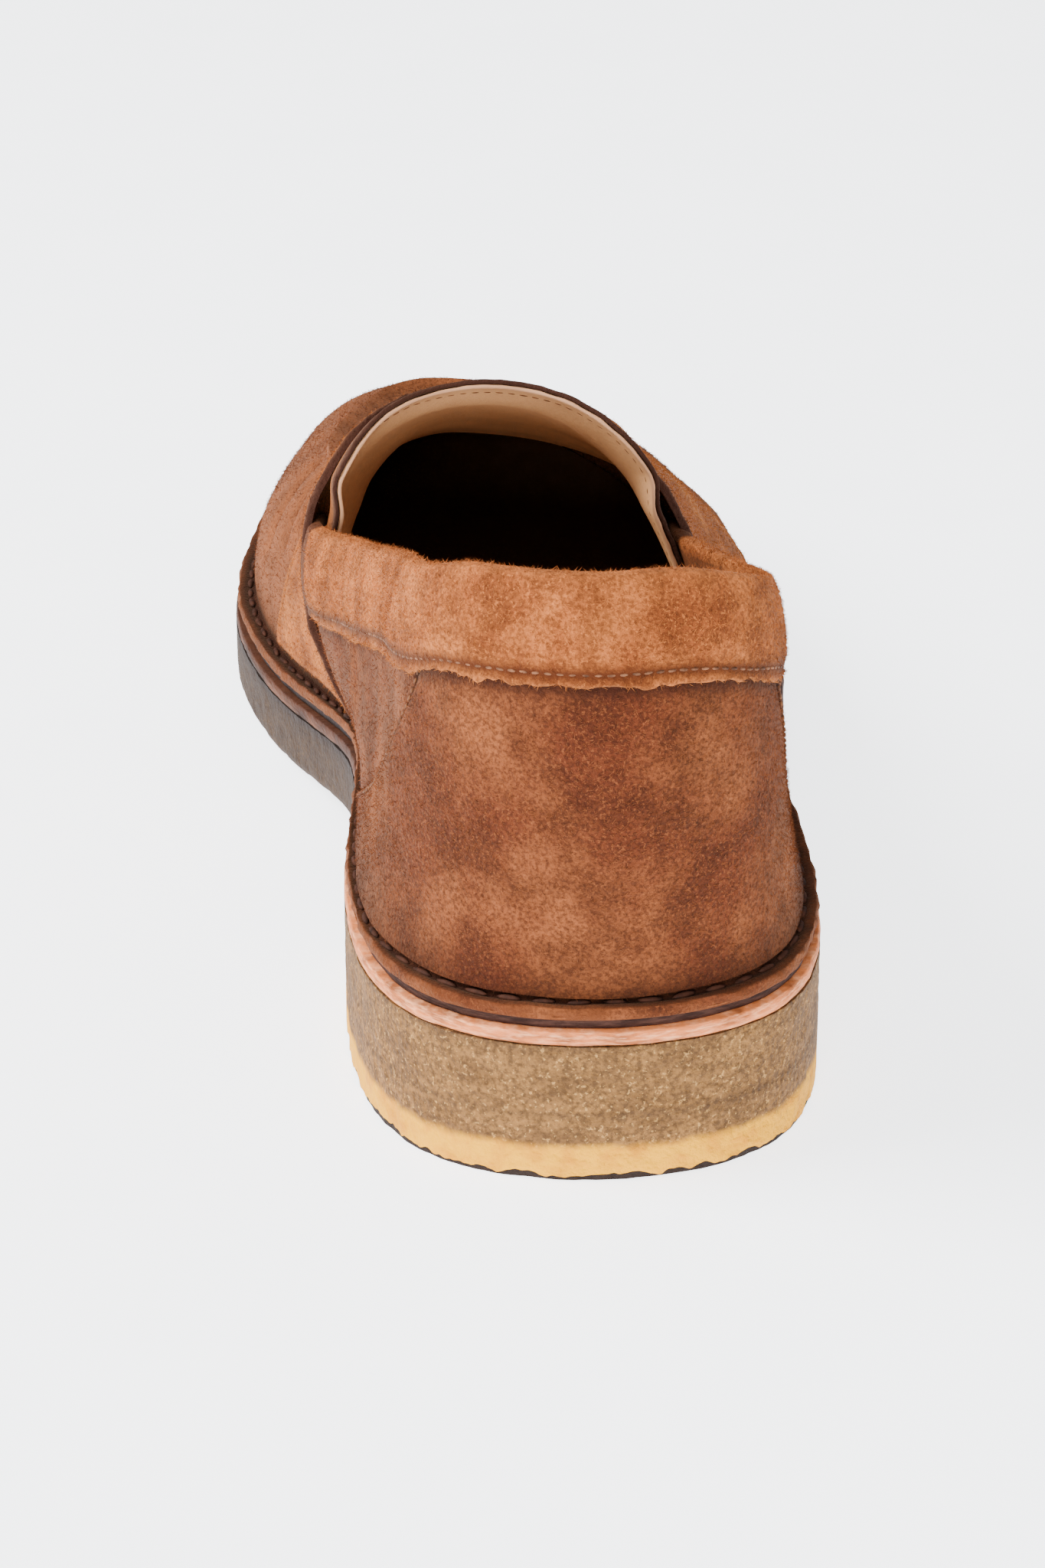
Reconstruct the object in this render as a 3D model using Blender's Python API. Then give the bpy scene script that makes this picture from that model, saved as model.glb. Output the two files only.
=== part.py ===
"""Right saddle loafer: a suede stitchdown upper on a crepe sole, standing empty on the floor.

Metres, +Z up, toe towards +Y, outer (lateral) side towards +X.
The upper, counter, collar, saddle and tongue are all cut from one last surface. It is made of
spokes: each rises from the crease at the foot of the wall to the spine of the last, as a cubic
curve. A station runs from 0 at the heel back to 1 at the toe tip, negative on the inner side.
"""

import math
from typing import Callable, NamedTuple, Sequence

import bmesh
import bpy
import numpy as np

# Plan of the sole
SHOE_LENGTH = 0.292
BALL_WIDTH = 0.101
HEEL_WIDTH = 0.073

# Heights of the last, above the floor for the instep and toe, above the flange for the back
INSTEP_HEIGHT = 0.0805
TOE_HEIGHT = 0.037
BACK_HEIGHT = 0.0625
TOE_SPRING = 0.007

# Sole layers, from the floor up
HEEL_LIFT_THICKNESS = 0.0107
OUTSOLE_THICKNESS = 0.0110
MIDSOLE_THICKNESS = 0.0020
RAND_THICKNESS = 0.0016
INSOLE_THICKNESS = 0.0025
HEEL_BEVEL_WIDTH = 0.0008
HEEL_BEVEL_HEIGHT = 0.0030
EDGE_BEVEL_WIDTH = 0.0012
EDGE_BEVEL_HEIGHT = 0.0025

# Leather thicknesses
UPPER_THICKNESS = 0.0015
COUNTER_THICKNESS = 0.0011
SADDLE_THICKNESS = 0.0014
TONGUE_THICKNESS = 0.0012
TONGUE_LINING_THICKNESS = 0.0011
TONGUE_FLARE = 0.0005

# Flange turned out for the stitchdown, and the raised apron seam
FLANGE_WIDTH = 0.0044
FLANGE_EDGE_INSET = 0.0005
APRON_SEAM_HEIGHT = 0.0014
APRON_SEAM_WIDTH = 0.0034

# Collar band round the topline
COLLAR_BAND_HEIGHT = 0.0142
COLLAR_RISE = 0.0022
COLLAR_PUFF = 0.0016
COLLAR_LEAF = 0.0007
COLLAR_END_PUFF = 0.0009
COLLAR_INNER_DEPTH = 0.0120

# Clearance between flat layers, and between pieces that lap over the curved upper
FIT_GAP = 0.0003
LAP_GAP = 0.0004

# Places along the shoe, as shares of its length
HEEL_BREAST_ALONG = 0.27
BALL_START_ALONG = 0.60
BALL_END_ALONG = 0.73
THROAT_SIDE_ALONG = 0.415
THROAT_ALONG = 0.455
APRON_SEAM_START_ALONG = 0.575
APRON_SEAM_FULL_ALONG = 0.625

# Shares of a spoke, from the crease at 0 to the spine at 1
SEAM_SHARE_OF_OPEN_SPOKE = 0.62
COUNTER_FOOT_SHARE = 0.005
COUNTER_TOP_SHARE = 0.48
SADDLE_FOOT_SHARE = 0.030
TONGUE_FOOT_SHARE = 0.28


class EdgePoint(NamedTuple):
    """A point of the sole's outline. Across is a share of the heel width plus one of the ball width."""

    name: str
    along: float
    of_heel: float
    of_ball: float


OUTLINE = (
    EdgePoint("heel back", 0.0, 0.0, 0.0),
    EdgePoint("heel corner, outer", 0.0325, 0.352, 0.0),
    EdgePoint("heel side, outer", 0.137, 0.5, 0.0),
    EdgePoint("waist, outer", 0.36, 0.25, 0.20),
    EdgePoint("joint, outer", 0.50, 0.0, 0.455),
    EdgePoint("ball, outer", 0.62, 0.0, 0.49),
    EdgePoint("toe side, outer", 0.795, 0.0, 0.41),
    EdgePoint("toe corner, outer", 0.940, 0.0, 0.225),
    EdgePoint("toe tip", 1.0, 0.0, -0.07),
    EdgePoint("toe corner, inner", 0.958, 0.0, -0.318),
    EdgePoint("toe side, inner", 0.86, 0.0, -0.44),
    EdgePoint("ball, inner", 0.69, 0.0, -0.51),
    EdgePoint("joint, inner", 0.535, 0.0, -0.425),
    EdgePoint("waist, inner", 0.41, -0.25, -0.155),
    EdgePoint("heel side, inner", 0.145, -0.5, 0.0),
    EdgePoint("heel corner, inner", 0.0325, -0.352, 0.0),
)


class SpinePoint(NamedTuple):
    """A point of the last's spine. Its height is a share of the instep height plus one of the toe height."""

    along: float
    of_ball: float
    of_instep: float
    of_toe: float


SPINE = (
    SpinePoint(0.145, 0.0, 1.56, 0.0),
    SpinePoint(0.25, -0.03, 1.36, 0.0),
    SpinePoint(0.35, -0.09, 1.142, 0.0),
    SpinePoint(0.43, -0.112, 1.012, 0.0),
    SpinePoint(0.55, -0.115, 0.52, 0.66),
    SpinePoint(0.68, -0.11, 0.26, 0.86),
    SpinePoint(0.80, -0.105, 0.09, 0.97),
    SpinePoint(0.88, -0.095, 0.0, 1.0),
)


class Section(NamedTuple):
    """How a spoke bends, for a station. In is towards the spine and up is height, as shares of the spoke."""

    along: float
    aim: float
    low_up: float
    high_up: float
    low_in_inner: float
    low_in_outer: float
    high_in_inner: float
    high_in_outer: float
    seam: float


SECTIONS = (
    Section(0.0, 0.145, 0.33, 0.67, -0.03, -0.03, -0.26, -0.26, 0.62),
    Section(0.04, 0.145, 0.33, 0.67, 0.16, 0.16, -0.20, -0.20, 0.62),
    Section(0.14, 0.150, 0.33, 0.67, 0.26, 0.28, -0.10, -0.08, 0.62),
    Section(0.27, 0.265, 0.36, 0.76, -0.14, 0.21, -0.22, 0.02, 0.62),
    Section(0.38, 0.385, 0.45, 1.0, -0.82, 0.22, -0.50, 0.38, 0.60),
    Section(0.50, 0.500, 0.52, 1.0, -0.22, 0.07, 0.26, 0.42, 0.58),
    Section(0.65, 0.650, 0.56, 1.0, -0.06, -0.02, 0.46, 0.48, 0.60),
    Section(0.80, 0.780, 0.62, 1.0, -0.05, -0.05, 0.44, 0.44, 0.66),
    Section(0.93, 0.865, 0.66, 1.0, -0.05, -0.05, 0.38, 0.38, 0.74),
    Section(1.0, 0.880, 0.68, 1.0, -0.05, -0.05, 0.36, 0.36, 0.77),
)


class TopPoint(NamedTuple):
    """A point of the topline in side view, lower on the outer side. Heights are shares of the back height."""

    along: float
    inner: float
    outer: float


TOPLINE = (
    TopPoint(0.0, 1.0, 1.0),
    TopPoint(0.035, 0.99, 0.99),
    TopPoint(0.060, 0.975, 0.935),
    TopPoint(0.096, 0.915, 0.865),
    TopPoint(0.16, 0.835, 0.765),
    TopPoint(0.25, 0.705, 0.630),
    TopPoint(0.34, 0.587, 0.530),
    TopPoint(0.42, 0.505, 0.47),
)


class SaddleEdge(NamedTuple):
    """Where the saddle's rear and front edges cross a spoke, from the crease at 0 to the spine at 1."""

    share: float
    rear: float
    front: float


SADDLE_EDGES = (
    SaddleEdge(0.0, 0.400, 0.590),
    SaddleEdge(0.25, 0.388, 0.570),
    SaddleEdge(0.55, 0.383, 0.548),
    SaddleEdge(0.80, 0.404, 0.540),
    SaddleEdge(0.93, 0.415, 0.540),
    SaddleEdge(1.0, 0.415, 0.540),
)


class TongueEdge(NamedTuple):
    """Where the tongue's rear and front edges cross a spoke."""

    share: float
    rear: float
    front: float


TONGUE_EDGES = (
    TongueEdge(0.28, 0.360, 0.500),
    TongueEdge(0.45, 0.358, 0.540),
    TongueEdge(0.60, 0.355, 0.560),
    TongueEdge(0.80, 0.372, 0.590),
    TongueEdge(0.93, 0.382, 0.600),
    TongueEdge(1.0, 0.382, 0.600),
)


class CounterEdge(NamedTuple):
    """Where the counter's front seam crosses a spoke."""

    share: float
    along: float


COUNTER_EDGES = (
    CounterEdge(0.0, 0.270),
    CounterEdge(0.10, 0.215),
    CounterEdge(0.18, 0.172),
    CounterEdge(0.30, 0.130),
    CounterEdge(0.45, 0.100),
    CounterEdge(0.60, 0.085),
)


class Finish(NamedTuple):
    """A plain material: linear colour, roughness and metallic value."""

    name: str
    colour: tuple[float, float, float]
    roughness: float
    metallic: float


CREPE = Finish("crepe_rubber", (0.22, 0.16, 0.075), 0.85, 0.0)
VEGETABLE_LEATHER = Finish("midsole_leather", (0.55, 0.24, 0.14), 0.7, 0.0)
DARK_LEATHER = Finish("rand_leather", (0.045, 0.028, 0.024), 0.6, 0.0)
SUEDE = Finish("suede", (0.30, 0.105, 0.032), 0.95, 0.0)
LINING_LEATHER = Finish("lining_leather", (0.60, 0.37, 0.22), 0.6, 0.0)
INSOLE_LEATHER = Finish("insole_leather", (0.42, 0.26, 0.15), 0.7, 0.0)


# Curves through tables

def monotone(knots: Sequence[float], values: Sequence[float]) -> Callable:
    """A smooth curve through the rows of a table, which never swings past them."""
    x = np.asarray(knots, float)
    y = np.asarray(values, float)
    step = np.diff(x)
    slope = np.diff(y) / step
    tangent = np.zeros_like(y)
    tangent[0] = slope[0]
    tangent[-1] = slope[-1]
    for i in range(1, len(x) - 1):
        if slope[i - 1] * slope[i] > 0:
            before = 2 * step[i] + step[i - 1]
            after = step[i] + 2 * step[i - 1]
            tangent[i] = (before + after) / (before / slope[i - 1] + after / slope[i])

    def curve(at: float) -> float:
        at = min(max(at, x[0]), x[-1])
        i = min(int(np.searchsorted(x, at, side="right")) - 1, len(step) - 1)
        t = (at - x[i]) / step[i]
        return float(
            (1 + 2 * t) * (1 - t) ** 2 * y[i]
            + t * (1 - t) ** 2 * step[i] * tangent[i]
            + t * t * (3 - 2 * t) * y[i + 1]
            + t * t * (t - 1) * step[i] * tangent[i + 1]
        )

    return curve


def table_curve(rows: Sequence, knot: str, value: Callable) -> Callable:
    """A monotone curve through one column, or a mix of columns, of a table."""
    return monotone([getattr(row, knot) for row in rows], [value(row) for row in rows])


def closed_spline(points: np.ndarray, samples: int) -> np.ndarray:
    """Samples of the closed cubic spline through the points, spaced by their chords."""
    count = len(points)
    chord = np.linalg.norm(np.roll(points, -1, axis=0) - points, axis=1)
    matrix = np.zeros((count, count))
    right = np.zeros((count, 2))
    for i in range(count):
        before = chord[i - 1]
        after = chord[i]
        matrix[i, i - 1] = before
        matrix[i, i] = 2 * (before + after)
        matrix[i, (i + 1) % count] = after
        slope_after = (points[(i + 1) % count] - points[i]) / after
        slope_before = (points[i] - points[i - 1]) / before
        right[i] = 6 * (slope_after - slope_before)
    bend = np.linalg.solve(matrix, right)
    starts = np.concatenate([[0.0], np.cumsum(chord)])
    made = []
    for at in np.linspace(0, starts[-1], samples, endpoint=False):
        i = int(np.searchsorted(starts, at, side="right")) - 1
        j = (i + 1) % count
        h = chord[i]
        a = (starts[i + 1] - at) / h
        b = 1 - a
        made.append(
            a * points[i]
            + b * points[j]
            + ((a**3 - a) * bend[i] + (b**3 - b) * bend[j]) * h * h / 6
        )
    return np.array(made)


def smooth_step(t: float) -> float:
    t = min(max(t, 0.0), 1.0)
    return t * t * (3 - 2 * t)


def station_of(share: float) -> float:
    """The station of a share of the length: stations crowd at the heel and toe."""
    return math.acos(1 - 2 * min(max(share, 0.0), 1.0)) / math.pi


# Plan outlines

OUTLINE_SAMPLES = 1440
EDGE_POINTS = np.array(
    [
        [p.of_heel * HEEL_WIDTH + p.of_ball * BALL_WIDTH, p.along * SHOE_LENGTH]
        for p in OUTLINE
    ]
)
SOLE_EDGE = closed_spline(EDGE_POINTS, OUTLINE_SAMPLES)


def outward_normals(loop: np.ndarray) -> np.ndarray:
    """Unit normals of a closed loop that runs anticlockwise seen from above."""
    ahead = np.roll(loop, -1, axis=0) - np.roll(loop, 1, axis=0)
    normals = np.stack([ahead[:, 1], -ahead[:, 0]], axis=1)
    return normals / np.linalg.norm(normals, axis=1, keepdims=True)


SOLE_NORMALS = outward_normals(SOLE_EDGE)


class PlanCurve:
    """The sole's outline moved inwards, read by station or by distance along the shoe."""

    def __init__(self, inset: Callable[[float], float]):
        moved = np.array(
            [inset(y / SHOE_LENGTH) for y in SOLE_EDGE[:, 1]]
        )
        loop = SOLE_EDGE - SOLE_NORMALS * moved[:, None]
        normals = outward_normals(loop)
        heel = int(np.argmin(loop[:, 1]))
        loop = np.roll(loop, -heel, axis=0)
        normals = np.roll(normals, -heel, axis=0)
        toe = int(np.argmax(loop[:, 1]))
        self.back = loop[0, 1]
        self.front = loop[toe, 1]
        self.sides = {}
        for side, order in (
            (1, np.arange(0, toe + 1)),
            (-1, np.concatenate([[0], np.arange(len(loop) - 1, toe - 1, -1)])),
        ):
            share = (loop[order, 1] - self.back) / (self.front - self.back)
            station = np.arccos(1 - 2 * np.clip(share, 0, 1)) / math.pi
            station = np.maximum.accumulate(station)
            self.sides[side] = (station, loop[order], normals[order])

    def at(self, station: float) -> tuple[np.ndarray, np.ndarray]:
        """The point and its outward normal at a station, negative on the inner side."""
        knots, loop, normals = self.sides[1 if station >= 0 else -1]
        at = min(abs(station), 1.0)
        point = np.array([np.interp(at, knots, loop[:, k]) for k in (0, 1)])
        normal = np.array([np.interp(at, knots, normals[:, k]) for k in (0, 1)])
        return point, normal / np.linalg.norm(normal)

    def station_at(self, y: float) -> float:
        return station_of((y - self.back) / (self.front - self.back))


CREASE = PlanCurve(lambda share: FLANGE_WIDTH)


# Heights of the layers, which follow the heel, waist and toe spring

def underside(y: float) -> float:
    """Height of the outsole's underside above the floor."""
    share = y / SHOE_LENGTH
    fall = smooth_step((share - HEEL_BREAST_ALONG) / (BALL_START_ALONG - HEEL_BREAST_ALONG))
    toe = max(0.0, (share - BALL_END_ALONG) / (1 - BALL_END_ALONG))
    return (HEEL_LIFT_THICKNESS + FIT_GAP) * (1 - fall) + TOE_SPRING * toe**2


def outsole_top(y: float) -> float:
    return underside(y) + OUTSOLE_THICKNESS


def midsole_top(y: float) -> float:
    return outsole_top(y) + FIT_GAP + MIDSOLE_THICKNESS


def rand_top(y: float) -> float:
    return midsole_top(y) + FIT_GAP + RAND_THICKNESS


def flange_under(y: float) -> float:
    return rand_top(y) + FIT_GAP


def flange_top(y: float) -> float:
    return flange_under(y) + UPPER_THICKNESS


# The last surface

SPINE_ACROSS = table_curve(SPINE, "along", lambda row: row.of_ball * BALL_WIDTH)
SPINE_HEIGHT = table_curve(
    SPINE, "along", lambda row: row.of_instep * INSTEP_HEIGHT + row.of_toe * TOE_HEIGHT
)
TOPLINE_HEIGHT = {
    -1: table_curve(TOPLINE, "along", lambda row: row.inner * BACK_HEIGHT),
    1: table_curve(TOPLINE, "along", lambda row: row.outer * BACK_HEIGHT),
}


def section_curve(column: str) -> Callable:
    return monotone(
        [station_of(row.along) for row in SECTIONS],
        [getattr(row, column) for row in SECTIONS],
    )


AIM = section_curve("aim")
LOW_UP = section_curve("low_up")
HIGH_UP = section_curve("high_up")
LOW_IN = {-1: section_curve("low_in_inner"), 1: section_curve("low_in_outer")}
HIGH_IN = {-1: section_curve("high_in_inner"), 1: section_curve("high_in_outer")}
SEAM_SHARE = section_curve("seam")


def spine_point(along: float) -> np.ndarray:
    return np.array([SPINE_ACROSS(along), along * SHOE_LENGTH, SPINE_HEIGHT(along)])


def spine_normal(along: float) -> np.ndarray:
    """Up and square to the spine."""
    reach = 0.01
    ahead = spine_point(along + reach) - spine_point(along - reach)
    normal = np.array([0.0, -ahead[2], ahead[1]])
    return normal / np.linalg.norm(normal)


def wrapped(station: float) -> float:
    """A station past the toe tip comes back along the other side."""
    if station > 1:
        return station - 2
    if station < -1:
        return station + 2
    return station


def last_point(station: float, share: float) -> np.ndarray:
    """A point of the upper's outer surface, at a station and a share of its spoke."""
    station = wrapped(station)
    side = 1 if station >= 0 else -1
    at = abs(station)
    foot, _ = CREASE.at(station)
    base = flange_top(foot[1])
    top = spine_point(AIM(at))
    low = 3 * (1 - share) ** 2 * share
    high = 3 * (1 - share) * share**2
    full = share**3
    inwards = low * LOW_IN[side](at) + high * HIGH_IN[side](at) + full
    upwards = low * LOW_UP(at) + high * HIGH_UP(at) + full
    plan = foot + (top[:2] - foot) * inwards
    return np.array([plan[0], plan[1], base + (top[2] - base) * upwards])


NORMAL_STEP = 0.004
RIDGE_SHARE = 0.999


def last_normal(station: float, share: float) -> np.ndarray:
    """Outward unit normal of the last surface."""
    if share > RIDGE_SHARE:
        return spine_normal(AIM(abs(wrapped(station))))
    along = last_point(station + NORMAL_STEP, share) - last_point(station - NORMAL_STEP, share)
    low = max(share - NORMAL_STEP, 0.0)
    up = last_point(station, share + NORMAL_STEP) - last_point(station, low)
    normal = np.cross(along, up)
    return normal / np.linalg.norm(normal)


def skin(station: float, share: float, offset: float) -> np.ndarray:
    """A point at a distance outside the last surface, or inside it if negative."""
    return last_point(station, share) + last_normal(station, share) * offset


def spoke_length(station: float, low: float, high: float) -> float:
    points = [last_point(station, s) for s in np.linspace(low, high, 12)]
    return sum(float(np.linalg.norm(b - a)) for a, b in zip(points, points[1:]))


def share_below(station: float, top: float, distance: float) -> float:
    """The share of a spoke that lies a distance below another, measured on the surface."""
    per_share = spoke_length(station, max(top - 0.2, 0.0), top) / min(0.2, top)
    return top - distance / per_share


# Where the upper is cut open

THROAT_SIDE = CREASE.station_at(THROAT_SIDE_ALONG * SHOE_LENGTH)
THROAT_END = CREASE.station_at(THROAT_ALONG * SHOE_LENGTH)


def topline_z(y: float, side: int) -> float:
    return flange_top(0.0) + TOPLINE_HEIGHT[side](y / SHOE_LENGTH)


def topline_share(station: float) -> float:
    """The share of a spoke at which the topline crosses it."""
    side = 1 if station >= 0 else -1
    low, high = 0.02, 0.98
    for _ in range(30):
        middle = (low + high) / 2
        point = last_point(station, middle)
        if point[2] < topline_z(point[1], side):
            low = middle
        else:
            high = middle
    return low


def top_share(station: float) -> float:
    """How far up a spoke the upper goes: to the topline, round the throat, or to the spine."""
    at = abs(station)
    side = math.copysign(1.0, station)
    if at <= THROAT_SIDE:
        return topline_share(station)
    if at >= THROAT_END:
        return 1.0
    corner = topline_share(side * THROAT_SIDE)
    turn = (at - THROAT_SIDE) / (THROAT_END - THROAT_SIDE)
    return corner + (1 - corner) * (1 - math.sqrt(1 - turn * turn))


# Meshes

def object_from(name: str, mesh: bmesh.types.BMesh, finish: Finish) -> bpy.types.Object:
    """A named object of one closed mesh, smooth apart from its sharp edges."""
    bmesh.ops.remove_doubles(mesh, verts=mesh.verts, dist=1e-6)
    bmesh.ops.dissolve_degenerate(mesh, edges=mesh.edges, dist=1e-6)
    bmesh.ops.recalc_face_normals(mesh, faces=mesh.faces)
    data = bpy.data.meshes.new(name)
    mesh.to_mesh(data)
    mesh.free()
    data.shade_smooth()
    data.set_sharp_from_angle(angle=math.radians(38))
    data.materials.append(material_of(finish))
    made = bpy.data.objects.new(name, data)
    bpy.context.scene.collection.objects.link(made)
    return made


def material_of(finish: Finish) -> bpy.types.Material:
    material = bpy.data.materials.get(finish.name)
    if material is None:
        material = bpy.data.materials.new(finish.name)
        material.use_nodes = True
        shader = material.node_tree.nodes["Principled BSDF"]
        shader.inputs["Base Color"].default_value = (*finish.colour, 1.0)
        shader.inputs["Roughness"].default_value = finish.roughness
        shader.inputs["Metallic"].default_value = finish.metallic
    return material


def add_grid(mesh: bmesh.types.BMesh, points: Sequence[Sequence[np.ndarray]]) -> list:
    """Vertices of a grid, joined by quads."""
    rows = [[mesh.verts.new(p) for p in row] for row in points]
    for a, b in zip(rows, rows[1:]):
        for i in range(len(a) - 1):
            mesh.faces.new((a[i], a[i + 1], b[i + 1], b[i]))
    return rows


def add_band(mesh: bmesh.types.BMesh, first: list, second: list) -> None:
    """Quads between two rows of vertices."""
    for i in range(len(first) - 1):
        mesh.faces.new((first[i], first[i + 1], second[i + 1], second[i]))


def shell(name: str, outer: list, inner: list, finish: Finish) -> bpy.types.Object:
    """A solid between two grids of the same size, closed round its four edges."""
    mesh = bmesh.new()
    out = add_grid(mesh, outer)
    back = add_grid(mesh, inner)
    add_band(mesh, out[0], back[0])
    add_band(mesh, out[-1], back[-1])
    add_band(mesh, [row[0] for row in out], [row[0] for row in back])
    add_band(mesh, [row[-1] for row in out], [row[-1] for row in back])
    return object_from(name, mesh, finish)


class Loop(NamedTuple):
    """One level of a slab: how far in from the sole's outline, and its height, for a place along the shoe."""

    inset: Callable[[float], float]
    height: Callable[[float], float]


SLAB_STATIONS = 40


def slab(
    name: str, loops: Sequence[Loop], finish: Finish, end_along: float | None = None
) -> bpy.types.Object:
    """A layer of the sole, from its top loop to its bottom loop. With an end it stops across the shoe."""
    mesh = bmesh.new()
    levels = []
    for loop in loops:
        curve = PlanCurve(loop.inset)
        last = curve.station_at(end_along * SHOE_LENGTH) if end_along else 1.0
        sides = []
        for side in (-1, 1):
            row = []
            for step in np.linspace(0, last, SLAB_STATIONS + 1):
                point, _ = curve.at(side * step)
                row.append(mesh.verts.new((point[0], point[1], loop.height(point[1]))))
            sides.append(row)
        levels.append(sides)
    add_band(mesh, levels[0][0], levels[0][1])
    add_band(mesh, levels[-1][0], levels[-1][1])
    for upper, lower in zip(levels, levels[1:]):
        add_band(mesh, upper[0], lower[0])
        add_band(mesh, upper[1], lower[1])
        if end_along:
            mesh.faces.new((upper[0][-1], upper[1][-1], lower[1][-1], lower[0][-1]))
    return object_from(name, mesh, finish)


# Sole

def flush(share: float) -> float:
    return 0.0


def forefoot_bevel(share: float) -> float:
    """The outsole's lower edge is trimmed in everywhere but over the heel lift."""
    return EDGE_BEVEL_WIDTH * smooth_step((share - HEEL_BREAST_ALONG) / 0.1)


def make_heel_lift() -> bpy.types.Object:
    """The crepe lift under the heel, its lower edge cut back."""
    loops = (
        Loop(flush, lambda y: HEEL_LIFT_THICKNESS),
        Loop(flush, lambda y: HEEL_BEVEL_HEIGHT),
        Loop(lambda share: HEEL_BEVEL_WIDTH, lambda y: 0.0),
    )
    return slab("heel_lift", loops, CREPE, HEEL_BREAST_ALONG)


def make_outsole() -> bpy.types.Object:
    """The crepe outsole, flat under heel and ball, arched at the waist and sprung at the toe."""
    loops = (
        Loop(flush, outsole_top),
        Loop(flush, lambda y: underside(y) + EDGE_BEVEL_HEIGHT),
        Loop(forefoot_bevel, underside),
    )
    return slab("outsole", loops, CREPE)


def make_midsole() -> bpy.types.Object:
    loops = (
        Loop(flush, midsole_top),
        Loop(flush, lambda y: outsole_top(y) + FIT_GAP),
    )
    return slab("midsole", loops, VEGETABLE_LEATHER)


def make_rand() -> bpy.types.Object:
    loops = (
        Loop(lambda share: FLANGE_EDGE_INSET, rand_top),
        Loop(lambda share: FLANGE_EDGE_INSET, lambda y: midsole_top(y) + FIT_GAP),
    )
    return slab("rand", loops, DARK_LEATHER)


def make_insole() -> bpy.types.Object:
    """The insole lies inside the foot of the wall, on the rand."""
    inset = FLANGE_WIDTH + UPPER_THICKNESS + 2 * FIT_GAP
    loops = (
        Loop(lambda share: inset, lambda y: flange_under(y) + INSOLE_THICKNESS),
        Loop(lambda share: inset, flange_under),
    )
    return slab("insole", loops, INSOLE_LEATHER)


# Upper

def seam_rise(foot_share: float) -> float:
    """The apron seam stands up from the saddle's front edge to the toe."""
    start = APRON_SEAM_START_ALONG
    return smooth_step((foot_share - start) / (APRON_SEAM_FULL_ALONG - start))


WALL_SHARES = (0.04, 0.12, 0.24, 0.38, 0.56, 0.78)
APRON_SHARES = (0.3, 0.6, 0.85, 1.0)


def upper_spoke(station: float) -> tuple[list, list]:
    """The outer and inner points of the upper at a station, from the flange's edge to its top."""
    foot, out = CREASE.at(station)
    base = flange_top(foot[1])
    outer = []
    inner = []
    for reach in (FLANGE_WIDTH - FLANGE_EDGE_INSET, FLANGE_WIDTH / 3):
        plan = foot + out * reach
        outer.append(np.array([plan[0], plan[1], flange_top(plan[1])]))
        inner.append(np.array([plan[0], plan[1], flange_under(plan[1])]))
    outer.append(np.array([foot[0], foot[1], base]))
    turned = foot - out * UPPER_THICKNESS
    inner.append(np.array([turned[0], turned[1], flange_under(turned[1])]))
    top = top_share(station)
    closed = abs(station) >= THROAT_END
    seam = SEAM_SHARE(abs(station)) if closed else SEAM_SHARE_OF_OPEN_SPOKE * top
    half = APRON_SEAM_WIDTH / 2 / spoke_length(station, 0.0, 1.0)
    shares = [part * (seam - half) for part in WALL_SHARES]
    shares += [seam - half, seam, seam + half]
    shares += [seam + half + part * (top - seam - half) for part in APRON_SHARES]
    for share in shares:
        rise = APRON_SEAM_HEIGHT * seam_rise(foot[1] / SHOE_LENGTH) if share == seam else 0.0
        outer.append(skin(station, share, rise))
        inner.append(skin(station, share, -UPPER_THICKNESS))
    return outer, inner


HEEL_STEPS = 18


def upper_stations() -> list[float]:
    """Stations of the upper, closer together where the throat turns up to the spine."""
    heel = list(np.linspace(0, THROAT_SIDE, HEEL_STEPS, endpoint=False))
    throat = [
        THROAT_SIDE + (THROAT_END - THROAT_SIDE) * math.sin(turn)
        for turn in np.linspace(0, math.pi / 2, 7)
    ]
    vamp = list(np.linspace(THROAT_END, 1.0, 19)[1:])
    return heel + throat + vamp


def make_upper() -> bpy.types.Object:
    """One hollow solid: flange, wall and vamp, open at the topline and throat and underneath."""
    mesh = bmesh.new()
    for side in (-1, 1):
        spokes = [upper_spoke(side * station) for station in upper_stations()]
        outer = add_grid(mesh, [spoke[0] for spoke in spokes])
        inner = add_grid(mesh, [spoke[1] for spoke in spokes])
        add_band(mesh, [row[0] for row in outer], [row[0] for row in inner])
        open_rows = sum(1 for s in upper_stations() if s <= THROAT_END)
        add_band(
            mesh,
            [row[-1] for row in outer[:open_rows]],
            [row[-1] for row in inner[:open_rows]],
        )
    return object_from("upper", mesh, SUEDE)


COUNTER_ALONG = table_curve(COUNTER_EDGES, "share", lambda row: row.along)


def make_counter() -> bpy.types.Object:
    """The counter laps over the back of the quarters, under the collar band, to two slanted seams."""
    outer = []
    inner = []
    spread = np.linspace(-1, 1, 29)
    for level in np.linspace(0, 1, 8):
        out_row = []
        in_row = []
        for part in spread:
            reach = CREASE.station_at(COUNTER_ALONG(COUNTER_TOP_SHARE * level) * SHOE_LENGTH)
            station = part * reach
            top = share_below(
                station, topline_share(station), COLLAR_BAND_HEIGHT + FIT_GAP
            )
            share = COUNTER_FOOT_SHARE + (top - COUNTER_FOOT_SHARE) * level
            out_row.append(skin(station, share, LAP_GAP + COUNTER_THICKNESS))
            in_row.append(skin(station, share, LAP_GAP))
        outer.append(out_row)
        inner.append(in_row)
    return shell("counter", outer, inner, SUEDE)


# Collar

class CollarFold(NamedTuple):
    """A row of the folded band: a point of its cover and the point of its slot behind that.

    Out is measured from the upper's outer face, as a size plus a share of the padding, and down
    from the upper's top edge.
    """

    cover_out: float
    cover_puff: float
    cover_down: float
    slot_out: float
    slot_down: float


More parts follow.
